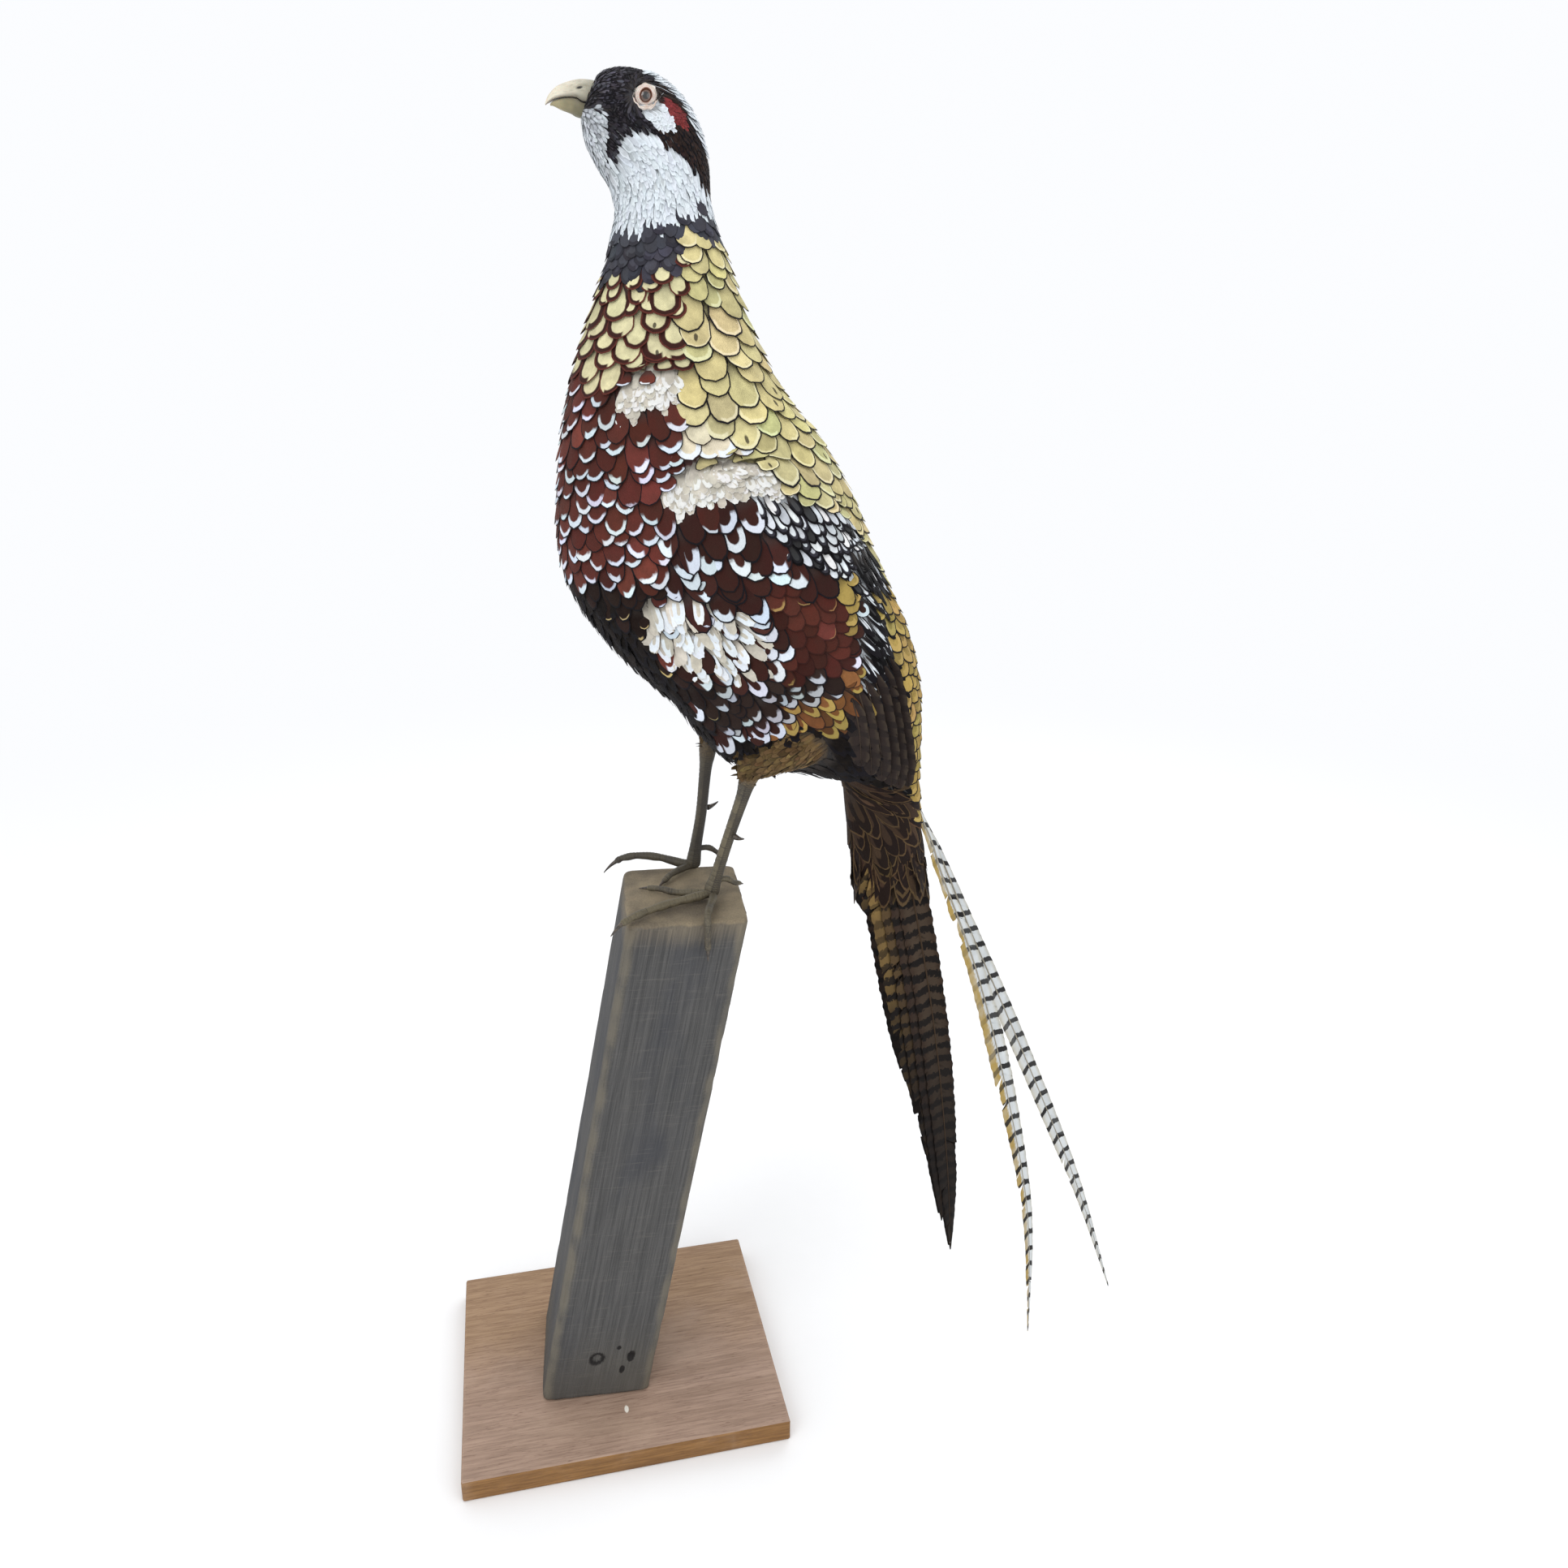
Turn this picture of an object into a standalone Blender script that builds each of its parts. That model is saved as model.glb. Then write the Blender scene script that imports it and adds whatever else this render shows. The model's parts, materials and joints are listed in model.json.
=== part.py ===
"""A mounted Reeves's pheasant cock on a leaning post and a square board.

The board is square to the world axes, with the origin at the middle of its underside. The bird and its post
are modelled in the bird's own frame, turned a little about Z: +X is the bird's left, -Y is forward, +Z is up.
"""
import math

import bmesh
import bpy
import numpy as np
from mathutils import Matrix, Vector

MM = 0.001
GAP = 0.3 * MM

# ---- driving dimensions -----------------------------------------------------------------------------------
BOARD_LENGTH = 220 * MM
BOARD_DEPTH = 187 * MM
BOARD_THICK = 16.4 * MM
BOARD_ROUND = 1.5 * MM

BIRD_X = -4 * MM
BIRD_YAW = math.radians(-4.6)

POST_WIDTH = 76 * MM
POST_DEPTH = 90 * MM
POST_TOP = 383 * MM
POST_FOOT = (4 * MM, -15 * MM)
POST_HEAD = (11 * MM, 56 * MM)
POST_CHAMFER = 5 * MM
POST_WEAR = 2.5 * MM

RING_SIDES = 24
STATION_STEP = 0.5
SHARP_ANGLE = math.radians(50)

# The body is one loft from the face to the tail coverts, in the bird's frame. Each station is a slice:
# (throat or belly point Y Z, crown or back point Y Z, full width), all in millimetres.
STATIONS = [
    (9.1, 823.8, 18.4, 840.6, 13.0),     # 0 face, against the bill
    (10.8, 817.0, 21.2, 844.8, 21.5),    # 1 lores
    (12.2, 810.5, 30.0, 847.6, 29.5),    # 2 brow
    (15.2, 804.5, 43.0, 846.8, 35.0),    # 3 eye
    (19.0, 797.5, 57.0, 841.0, 38.5),    # 4 crown
    (23.5, 790.5, 68.5, 829.5, 41.0),    # 5 ear
    (26.0, 783.0, 75.6, 814.0, 43.0),    # 6 nape
    (25.6, 775.5, 78.4, 799.0, 45.0),    # 7 throat
    (22.8, 767.0, 79.4, 786.0, 48.0),    # 8 neck
    (20.6, 755.5, 82.6, 772.0, 54.0),    # 9 collar
    (15.0, 742.5, 89.2, 755.0, 63.0),    # 10 under the collar
    (8.8, 726.0, 97.0, 735.0, 75.0),     # 11 foot of the neck
    (2.0, 708.0, 106.0, 714.0, 90.0),    # 12 shoulders
    (-6.4, 677.0, 120.5, 688.0, 110.0),  # 13 top of the breast
    (-11.6, 647.0, 138.5, 668.0, 122.0),
    (-13.8, 616.0, 157.0, 640.0, 128.0),  # 15 fullest breast
    (-11.2, 587.0, 171.5, 609.0, 130.0),
    (2.0, 559.0, 184.0, 581.0, 129.0),
    (28.0, 528.0, 196.5, 555.0, 125.0),  # 18 belly
    (51.0, 507.0, 204.0, 532.0, 117.0),
    (67.5, 485.0, 208.0, 508.0, 105.0),  # 20 between the legs
    (84.0, 469.5, 209.2, 488.0, 90.0),
    (110.0, 464.0, 209.2, 472.0, 74.0),  # 22 vent
    (139.0, 461.0, 209.4, 459.5, 59.0),
    (155.0, 457.5, 210.2, 447.0, 50.0),  # 24 root of the tail
    (159.5, 441.0, 211.4, 434.0, 44.0),
    (163.0, 420.0, 214.4, 415.0, 39.0),
    (165.5, 400.0, 217.6, 395.0, 35.0),  # 27 end of the coverts
]
FLESH = {
    "head": (0.0, 7.5),
    "neck": (7.5, 11.3),
    "trunk": (11.3, 21.5),
    "rump": (21.5, 24.0),
    "tail_coverts": (24.0, 27.0),
}
SECTION_POWER = 2.15
BACK_BROADER = 0.10

# A shallow fold of breast feathers in front of each wing: crest Y Z, half length, drop below it, height (mm).
FOLD_Y, FOLD_Z, FOLD_HALF, FOLD_BOW = 34.0, 694.0, 26.0, 0.35
FOLD_RISE, FOLD_FALL, FOLD_HEIGHT = 9.0, 26.0, 7.0

# Folded wing: a pad on the body's side. (station, rear edge angle, front edge angle, thickness in mm),
# with angles round the section from the middle of the back.
WING = [
    (14.25, 58, 90, 5.0),
    (14.6, 47, 99, 8.0),
    (15.2, 36, 105, 9.0),
    (16.0, 30, 106, 8.6),
    (17.0, 31, 106, 7.8),
    (18.0, 41, 105, 7.0),
    (19.0, 50, 92, 6.0),
    (20.0, 56, 78, 4.4),
    (21.0, 61, 71, 2.6),
    (21.4, 64, 69, 1.6),
]
WING_EDGE = 0.9 * MM
WING_CLEAR = 0.7 * MM
WING_ROWS = 16
WING_SPAN_STEPS = 8
WING_ROUNDING = 0.75
WING_FRONT_THINNER = 0.3

EYE_RADIUS = 6.0 * MM
EYE_AT = (12.3 * MM, 44.2 * MM, 831.4 * MM)

# Bill halves: (top Y Z, bottom Y Z, width) in millimetres, from the face to the tip.
UPPER_BILL = [
    (18.0, 840.7, 12.2, 830.0, 12.4),
    (11.6, 841.0, 8.9, 831.7, 11.2),
    (5.4, 839.7, 3.5, 831.9, 9.2),
    (-0.9, 837.2, -2.0, 831.0, 6.6),
    (-5.1, 833.2, -5.3, 829.6, 3.4),
    (-7.0, 829.6, -7.0, 828.4, 1.0),
]
LOWER_BILL = [
    (11.7, 829.3, 8.6, 823.5, 11.6),
    (8.6, 831.1, 5.8, 824.9, 9.8),
    (3.3, 831.3, 1.0, 826.4, 7.4),
    (-2.1, 830.3, -2.7, 828.0, 4.2),
    (-4.5, 829.0, -4.5, 828.2, 1.2),
]
BILL_SIDES = 12
BILL_ROUNDING = 0.85

# Legs: joints (X Y Z, millimetres) and radii, for the left and right leg.
THIGH = {
    "left": [((38, 134, 495), 9.0), ((40, 127, 490), 12.0), ((36, 115, 483), 12.6), ((27, 103, 476), 12.0),
             ((23.2, 97.8, 468.4), 9.6), ((22.6, 96.4, 463.2), 7.2)],
    "right": [((-34, 106, 512), 14.0), ((-28, 92, 496), 12.0), ((-24.2, 80, 482), 10.0), ((-22.5, 75.6, 469.6), 6.8)],
}
TARSUS = {
    "left": [((22.5, 95.6, 460.8), 6.6), ((22.4, 92.4, 450), 4.8), ((22.6, 84, 425), 4.3), ((22.8, 76.5, 401), 4.8),
             ((22.8, 73.4, 391), 7.0), ((22.8, 72.8, 384.4), 6.2)],
    "right": [((-22.4, 75, 466.6), 6.4), ((-22.6, 73.6, 454), 4.5), ((-23, 70.6, 425), 4.1), ((-23.6, 67, 403), 4.8),
              ((-23.7, 65.2, 391), 7.2), ((-23.7, 64.8, 384.4), 6.2)],
}
SPUR_AT = 0.38
SPUR_LENGTH = 9.5 * MM
SPUR_RADIUS = 2.3 * MM
SPUR_CURVE = 0.3
SPUR_TAPER = 0.85
SPUR_TURN = {"left": math.radians(62), "right": math.radians(-36)}
TOE_HEIGHT = POST_TOP / MM + 0.5
TOE = {
    "left_middle": [(27.0, 64.6, 4.2), (33.5, 48, 3.6), (43, 33, 3.8), (51, 22.5, 3.4), (56.5, 16.5, 2.6)],
    "left_inner": [(20.7, 64.6, 3.8), (17.5, 51, 3.2), (11.5, 41, 3.6), (6.8, 34.5, 2.4)],
    "left_outer": [(31.6, 72.8, 4.0), (44.5, 69.6, 4.2), (55.0, 67.4, 4.0), (60.4, 66.8, -3.6), (60.6, 66.8, -15.5)],
    "left_hind": [(21.0, 82.4, 12.5), (17.0, 87.0, 8.2), (12.5, 91.4, 5.2)],
    "right_middle": [(-26.6, 56.0, 5.0), (-32.0, 43, 7.2), (-34.6, 29, 8.2), (-35.8, 19, 6.6), (-35.8, 15, 5.0)],
    "right_inner": [(-19.2, 57.6, 4.0), (-10.8, 49.5, 3.8), (-4.0, 44.5, 2.4)],
    "right_outer": [(-32.2, 64.8, 4.6), (-38.4, 63.8, 1.5), (-38.8, 63.0, -7.0), (-38.6, 62.6, -15.0)],
    "right_hind": [(-25.4, 74.6, 15.5), (-26.6, 80.0, 12.0), (-27.0, 84.5, 8.0)],
}
TOE_RADIUS = {"middle": 3.1, "inner": 2.6, "outer": 2.8, "hind": 2.2}
TOE_TAPER = 0.62
CLAW_ROOT = 0.92
CLAW_TAPER = 0.75
CLAW_LENGTH = {"middle": 10.5, "inner": 8.5, "outer": 9.0, "hind": 5.0}
CLAW_HOOK = {"middle": 0.35, "inner": 0.06, "outer": 0.0, "hind": 0.0}

# Tail. Feathers lie on two slopes of a roof whose ridge is at the rear; the central pair rides on the ridge.
ROOF_ANGLE = math.radians(20)
TAIL_START_Z = 393.0
TAIL_DROP = 321.0
RIDGE_GAP = 1.6
RIDGE_Y = 216.0
RIDGE_LEAN = 77.0
RIDGE_SAG = 39.0
TIP_DRIFT_POWER = 2.2
TIP_TAPER_POWER = 4.2
TIP_WIDTH = 1.0
FEATHER_THICK = 0.7 * MM
FEATHER_EDGE = 0.25 * MM
FEATHER_LAYER = 1.35 * MM
# (distance from the ridge at the root, and at the tip, length along Z, full width), all in millimetres
SIDE_FEATHERS = [
    (13.5, 1.2, 321.0, 24.0),
    (19.5, 10.0, 292.0, 24.0),
    (26.0, 20.0, 240.0, 24.0),
    (33.5, 33.0, 178.0, 24.0),
    (40.5, 43.5, 45.0, 20.0),
]
# Long central pair: path (X Y Z) and full widths in millimetres, and how far each face is turned to the rear.
LONG_FEATHERS = {
    "tail_long_right": (
        [(-1.8, 219.5, 410), (-3.2, 232, 386), (-5.2, 254, 335), (-7.0, 287, 264), (-8.0, 330, 168),
         (-8.6, 359, 99), (-9.5, 390.5, 10)],
        [4, 11, 18.5, 19.5, 17.5, 11.5, 1.4], 48),
    "tail_long_left": (
        [(4.4, 221, 404), (5.0, 228, 383), (6.2, 243, 346), (7.4, 257, 308), (9.6, 274.5, 249),
         (13.5, 290, 187), (17.5, 302, 130), (22.0, 307.5, 79), (26.0, 310.5, 9)],
        [4, 8, 14, 18, 22, 17.5, 14, 10, 1.4], 40),
}
LONG_FEATHER_ROWS = 16
SIDE_FEATHER_ROWS = 10

COLOURS = {
    "skull": (0.20, 0.19, 0.20),
    "white": (0.80, 0.82, 0.82),
    "chestnut": (0.20, 0.055, 0.03),
    "gold": (0.62, 0.50, 0.16),
    "brown": (0.16, 0.085, 0.04),
    "barred": (0.62, 0.60, 0.52),
    "horn": (0.50, 0.46, 0.36),
    "leg": (0.16, 0.14, 0.10),
    "claw": (0.03, 0.028, 0.026),
    "eye": (0.06, 0.03, 0.015),
    "weathered_wood": (0.20, 0.19, 0.17),
    "board_wood": (0.33, 0.17, 0.09),
}


# ---- scene and materials ----------------------------------------------------------------------------------
def clear_scene():
    for old in list(bpy.data.objects):
        bpy.data.objects.remove(old, do_unlink=True)


def new_collection(name):
    collection = bpy.data.collections.new(name)
    bpy.context.scene.collection.children.link(collection)
    return collection


def make_material(name, colour, roughness=0.7, metallic=0.0):
    material = bpy.data.materials.new(name)
    material.use_nodes = True
    shader = material.node_tree.nodes["Principled BSDF"]
    shader.inputs["Base Color"].default_value = (*colour, 1.0)
    shader.inputs["Roughness"].default_value = roughness
    shader.inputs["Metallic"].default_value = metallic
    return material


def place(name, mesh, collection, parent, material=None):
    obj = bpy.data.objects.new(name, mesh)
    collection.objects.link(obj)
    obj.parent = parent
    if material:
        mesh.materials.append(material)
    return obj


# ---- curves and lofts -------------------------------------------------------------------------------------
def spline(table, at):
    """Catmull-Rom curve through the rows of a table, read at a fractional row number."""
    rows = np.asarray(table, dtype=float)
    last = len(rows) - 1
    at = min(max(at, 0.0), float(last))
    i = min(int(at), last - 1)
    t = at - i
    before = rows[i - 1] if i > 0 else 2 * rows[0] - rows[1]
    after = rows[i + 2] if i + 2 <= last else 2 * rows[last] - rows[last - 1]
    start, end = rows[i], rows[i + 1]
    slope_in, slope_out = (end - before) / 2, (after - start) / 2
    return ((2 * t**3 - 3 * t**2 + 1) * start + (t**3 - 2 * t**2 + t) * slope_in
            + (3 * t**2 - 2 * t**3) * end + (t**3 - t**2) * slope_out)


def loft(name, rings, collection, parent, material):
    """A closed body through rings with the same number of points, capped flat at both ends."""
    bm = bmesh.new()
    levels = [[bm.verts.new(point) for point in ring] for ring in rings]
    sides = len(levels[0])
    for low, high in zip(levels, levels[1:]):
        for k in range(sides):
            following = (k + 1) % sides
            bm.faces.new((low[k], low[following], high[following], high[k]))
    bm.faces.new(levels[0][::-1])
    bm.faces.new(levels[-1])
    bmesh.ops.recalc_face_normals(bm, faces=bm.faces)
    mesh = bpy.data.meshes.new(name)
    bm.to_mesh(mesh)
    bm.free()
    mesh.shade_smooth()
    mesh.set_sharp_from_angle(angle=SHARP_ANGLE)
    return place(name, mesh, collection, parent, material)


def tapered_curve(name, points, radii, collection, parent, material, resolution=2):
    """A round tube along points, as a curve with its own radius at each point, made a mesh with welded caps."""
    curve = bpy.data.curves.new(name, "CURVE")
    curve.dimensions = "3D"
    curve.bevel_depth = MM
    curve.bevel_resolution = resolution
    curve.use_fill_caps = True
    line = curve.splines.new("POLY")
    line.points.add(len(points) - 1)
    for spot, point, radius in zip(line.points, points, radii):
        spot.co = (*point, 1.0)
        spot.radius = radius / MM
    tube = place(name + "_path", curve, collection, parent)
    bpy.context.view_layer.update()
    evaluated = tube.evaluated_get(bpy.context.evaluated_depsgraph_get())
    mesh = bpy.data.meshes.new_from_object(evaluated)
    bpy.data.objects.remove(tube, do_unlink=True)
    bm = bmesh.new()
    bm.from_mesh(mesh)
    bmesh.ops.remove_doubles(bm, verts=bm.verts, dist=0.01 * MM)
    bmesh.ops.recalc_face_normals(bm, faces=bm.faces)
    bm.to_mesh(mesh)
    bm.free()
    mesh.name = name
    mesh.materials.clear()
    mesh.shade_smooth()
    mesh.set_sharp_from_angle(angle=math.radians(60))
    return place(name, mesh, collection, parent, material)


# ---- the body ---------------------------------------------------------------------------------------------
def fold_height(y, z):
    """How far the fold of breast feathers stands out at a place on the side, in millimetres."""
    along = (y - FOLD_Y) / FOLD_HALF
    below = FOLD_Z - along * along * FOLD_HALF * FOLD_BOW - z
    if below <= 0:
        return 0.0
    rise = min(below / FOLD_RISE, 1.0)
    rise = rise * rise * (3 - 2 * rise)
    return FOLD_HEIGHT * rise * math.exp(-below / FOLD_FALL) * math.exp(-along**2)


def body_point(station, angle, lift=0.0):
    """A point on the body: a station number, and an angle round the slice from the middle of the back."""
    front_y, front_z, back_y, back_z, width = spline(STATIONS, station)
    c, s = math.cos(angle), math.sin(angle)
    power = 2 / SECTION_POWER
    depth = math.copysign(abs(c) ** power, c)
    breadth = math.copysign(abs(s) ** power, s) * (1 + BACK_BROADER * c)
    y = (front_y + back_y) / 2 + (back_y - front_y) / 2 * depth
    z = (front_z + back_z) / 2 + (back_z - front_z) / 2 * depth
    x = width / 2 * breadth + math.copysign(fold_height(y, z) * abs(s), s)
    if lift:
        outward = Vector((s * (back_y - front_y), c * width, 0)).normalized()
        return Vector((x, y, z)) * MM + outward * lift
    return Vector((x, y, z)) * MM


def body_ring(station, shift=0.0, lift=0.0):
    """One slice of the body, moved along the body's own line by shift, and swollen by lift."""
    ahead, behind = spline(STATIONS, station + 0.1), spline(STATIONS, station - 0.1)
    run = Vector((0, ahead[0] + ahead[2] - behind[0] - behind[2], ahead[1] + ahead[3] - behind[1] - behind[3]))
    run.normalize()
    angles = [2 * math.pi * k / RING_SIDES for k in range(RING_SIDES)]
    return [body_point(station, angle, lift) + run * shift for angle in angles]


def stations_between(first, last):
    count = max(2, round((last - first) / STATION_STEP))
    return [first + (last - first) * k / count for k in range(count + 1)]


def make_flesh(name, collection, parent, material):
    first, last = FLESH[name]
    places = stations_between(first, last)
    rings = [body_ring(places[0], GAP / 2)]
    rings += [body_ring(station) for station in places[1:-1]]
    rings.append(body_ring(places[-1], -GAP / 2))
    return loft(name, rings, collection, parent, material)


def make_room(cutters, parent):
    """The lower body, a little swollen, to trim what meets it."""
    first, last = FLESH["trunk"][0], FLESH["rump"][1]
    rings = [body_ring(station, 0.0, 2 * GAP) for station in stations_between(first, last)]
    return hide_cutter(loft("body_room", rings, cutters, parent, None))


def cut(target, cutter):
    difference = target.modifiers.new("cut", "BOOLEAN")
    difference.operation = "DIFFERENCE"
    difference.solver = "EXACT"
    difference.object = cutter


def make_eyes(head, collection, cutters, parent, material):
    for side, sign in (("left", 1), ("right", -1)):
        centre = Vector((sign * EYE_AT[0], EYE_AT[1], EYE_AT[2]))
        for name, radius, home in (("eye_" + side, EYE_RADIUS, collection),
                                   ("socket_" + side, EYE_RADIUS + GAP, cutters)):
            bm = bmesh.new()
            bmesh.ops.create_uvsphere(bm, u_segments=12, v_segments=8, radius=radius)
            bmesh.ops.rotate(bm, verts=bm.verts, matrix=Matrix.Rotation(math.pi / 2, 3, "Y"))
            bmesh.ops.translate(bm, verts=bm.verts, vec=centre)
            mesh = bpy.data.meshes.new(name)
            bm.to_mesh(mesh)
            bm.free()
            mesh.shade_smooth()
            obj = place(name, mesh, home, parent, material)
            if home is cutters:
                hide_cutter(obj)
                cut(head, obj)


def hide_cutter(obj):
    obj.hide_render = True
    obj.display_type = "WIRE"
    return obj


def bill_ring(row, flat_below):
    """A D-shaped slice of one half of the bill, flat where the halves meet."""
    top_y, top_z, bottom_y, bottom_z, width = row
    ring = []
    for k in range(BILL_SIDES + 1):
        angle = math.pi * k / BILL_SIDES
        height = math.sin(angle) ** BILL_ROUNDING
        share = height if flat_below else 1 - height
        y = bottom_y + (top_y - bottom_y) * share
        z = bottom_z + (top_z - bottom_z) * share
        ring.append(Vector((width / 2 * math.cos(angle), y - GAP / MM, z)) * MM)
    return ring


def make_bill(collection, parent, material):
    for name, rows, flat_below in (("bill_upper", UPPER_BILL, True), ("bill_lower", LOWER_BILL, False)):
        steps = [k / 2 for k in range(2 * len(rows) - 1)]
        rings = [bill_ring(spline(rows, at), flat_below) for at in steps]
        loft(name, rings, collection, parent, material)


# ---- wings ------------------------------------------------------------------------------------------------
def make_wing(side, sign, collection, parent, material):
    """A pad over the body's side: an inner skin just off the body, and an outer one above it."""
    rings = []
    for row in range(WING_ROWS + 1):
        station, rear, front, thick = spline(WING, (len(WING) - 1) * row / WING_ROWS)
        inner, outer = [], []
        for k in range(WING_SPAN_STEPS + 1):
            share = k / WING_SPAN_STEPS
            angle = sign * math.radians(rear + (front - rear) * share)
            rounding = math.sin(math.pi * share) ** WING_ROUNDING * (1 - WING_FRONT_THINNER * share)
            inner.append(body_point(station, angle, WING_CLEAR))
            outer.append(body_point(station, angle, WING_CLEAR + WING_EDGE + thick * MM * rounding))
        rings.append(inner + outer[::-1])
    return loft("wing_" + side, rings, collection, parent, material)


# ---- legs -------------------------------------------------------------------------------------------------
def round_ring(centre, radius, direction, sides, squash=1.0):
    """A ring of points round a centre, square to a direction."""
    across = Vector((1, 0, 0)) - direction * direction.x
    across.normalize()
    up = direction.cross(across)
    ring = []
    for k in range(sides):
        angle = 2 * math.pi * k / sides
        ring.append(centre + across * radius * squash * math.cos(angle) + up * radius * math.sin(angle))
    return ring


def limb_rings(joints, rows, sides, squash=1.0):
    """Rings down a limb whose joints are (place, radius) in millimetres."""
    table = [(*place_mm, radius) for place_mm, radius in joints]
    rings = []
    for row in range(rows + 1):
        at = (len(table) - 1) * row / rows
        here = spline(table, at)
        run = Vector(spline(table, at + 0.05)[:3] - spline(table, at - 0.05)[:3]).normalized()
        rings.append(round_ring(Vector(here[:3]) * MM, here[3] * MM, run, sides, squash))
    return rings


def make_thigh(side, room, collection, parent, material):
    """A tapered roll from the flank to the hock, trimmed where it would run into the body."""
    cut(loft("thigh_" + side, limb_rings(THIGH[side], 9, 14), collection, parent, material), room)


def make_tarsus(side, collection, parent, material):
    loft("tarsus_" + side, limb_rings(TARSUS[side], 15, 10, 0.86), collection, parent, material)


def make_spur(side, collection, parent, material):
    """A blunt thorn that grows square to the shank, behind and inside, and curves up."""
    table = [(*place_mm, radius) for place_mm, radius in TARSUS[side]]
    at = (len(table) - 1) * SPUR_AT
    here = spline(table, at)
    down = Vector(spline(table, at + 0.1)[:3] - spline(table, at - 0.1)[:3]).normalized()
    outward = Matrix.Rotation(SPUR_TURN[side], 3, down) @ Vector((1, 0, 0)).cross(down).normalized()
    start = Vector(here[:3]) * MM + outward * (here[3] * MM + 2 * GAP)
    share = [0.0, 0.35, 0.7, 1.0]
    points = [start + (outward * s - down * SPUR_CURVE * s * s) * SPUR_LENGTH for s in share]
    radii = [SPUR_RADIUS * (1 - SPUR_TAPER * s) for s in share]
    tapered_curve("spur_" + side, points, radii, collection, parent, material)


def make_toe(name, collection, parent, skin, horn):
    finger = name.split("_")[1]
    radius = TOE_RADIUS[finger]
    rows = 2 * (len(TOE[name]) - 1)
    points, radii = [], []
    for row in range(rows + 1):
        x, y, height = spline(TOE[name], row / 2)
        share = row / rows
        points.append(Vector((x, y, TOE_HEIGHT + height)) * MM)
        radii.append(radius * (1 - (1 - TOE_TAPER) * share) * MM)
    tapered_curve("toe_" + name, points, radii, collection, parent, skin)
    run = (points[-1] - points[-2]).normalized()
    start = points[-1] + run * GAP
    length = CLAW_LENGTH[finger] * MM
    share = [0.0, 0.4, 0.75, 1.0]
    hook = Vector((0, 0, -CLAW_HOOK[finger] * length))
    claw = [start + run * length * s + hook * s * s for s in share]
    claw_radii = [radii[-1] * (CLAW_ROOT - CLAW_TAPER * s) for s in share]
    tapered_curve("claw_" + name, claw, claw_radii, collection, parent, horn)


# ---- tail -------------------------------------------------------------------------------------------------
def feather_ring(centre, across, outward, width):
    """A thin lens with a ridge on each side, for the shaft."""
    edge, shaft = FEATHER_EDGE, FEATHER_THICK
    profile = [(-1, edge), (-0.5, shaft * 0.8), (0, shaft), (0.5, shaft * 0.8), (1, edge), (1, -edge), (-1, -edge)]
    return [centre + across * (width / 2 * u) + outward * v for u, v in profile]


def make_feather(name, path, widths, outward, rows, collection, parent, material):
    """A flat feather along a path, whose face looks outward."""
    table = [(*point, width) for point, width in zip(path, widths)]
    rings = []
    for row in range(rows + 1):
        at = (len(table) - 1) * row / rows
        here = spline(table, at)
        run = Vector(spline(table, at + 0.05)[:3] - spline(table, at - 0.05)[:3]).normalized()
        across = outward.cross(run).normalized()
        face = run.cross(across)
        rings.append(feather_ring(Vector(here[:3]) * MM, across, face, here[3] * MM))
    return loft(name, rings, collection, parent, material)


def ridge_y(z):
    """The rear line of the brown tail, which leans back less and less as it goes down."""
    drop = (TAIL_START_Z - z) / TAIL_DROP
    return RIDGE_Y + RIDGE_LEAN * drop - RIDGE_SAG * drop * drop


def make_side_feathers(side, sign, collection, parent, material):
    slope = Vector((sign * math.sin(ROOF_ANGLE), -math.cos(ROOF_ANGLE), 0))
    outward = Vector((sign * math.cos(ROOF_ANGLE), math.sin(ROOF_ANGLE), 0))
    for number, (root_offset, tip_offset, length, width) in enumerate(SIDE_FEATHERS):
        path, widths = [], []
        for share in (0.0, 0.25, 0.5, 0.75, 0.9, 1.0):
            z = TAIL_START_Z - length * share
            offset = root_offset + (tip_offset - root_offset) * share**TIP_DRIFT_POWER
            ridge = Vector((sign * RIDGE_GAP, ridge_y(z), z))
            path.append(ridge + slope * offset - outward * (number * FEATHER_LAYER / MM))
            widths.append(max(width * (1 - share**TIP_TAPER_POWER), TIP_WIDTH))
        name = f"tail_{side}_{number + 1}"
        make_feather(name, path, widths, outward, SIDE_FEATHER_ROWS, collection, parent, material)


# ---- stand ------------------------------------------------------------------------------------------------
def make_board(collection, material):
    bpy.ops.mesh.primitive_cube_add(size=1, location=(0, 0, BOARD_THICK / 2))
    board = bpy.context.object
    board.name = "stand_board"
    board.data.transform(Matrix.Diagonal((BOARD_DEPTH, BOARD_LENGTH, BOARD_THICK, 1)))
    bevel = board.modifiers.new("round", "BEVEL")
    bevel.width = BOARD_ROUND
    bevel.segments = 2
    board.data.materials.append(material)
    for home in list(board.users_collection):
        home.objects.unlink(board)
    collection.objects.link(board)


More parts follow.
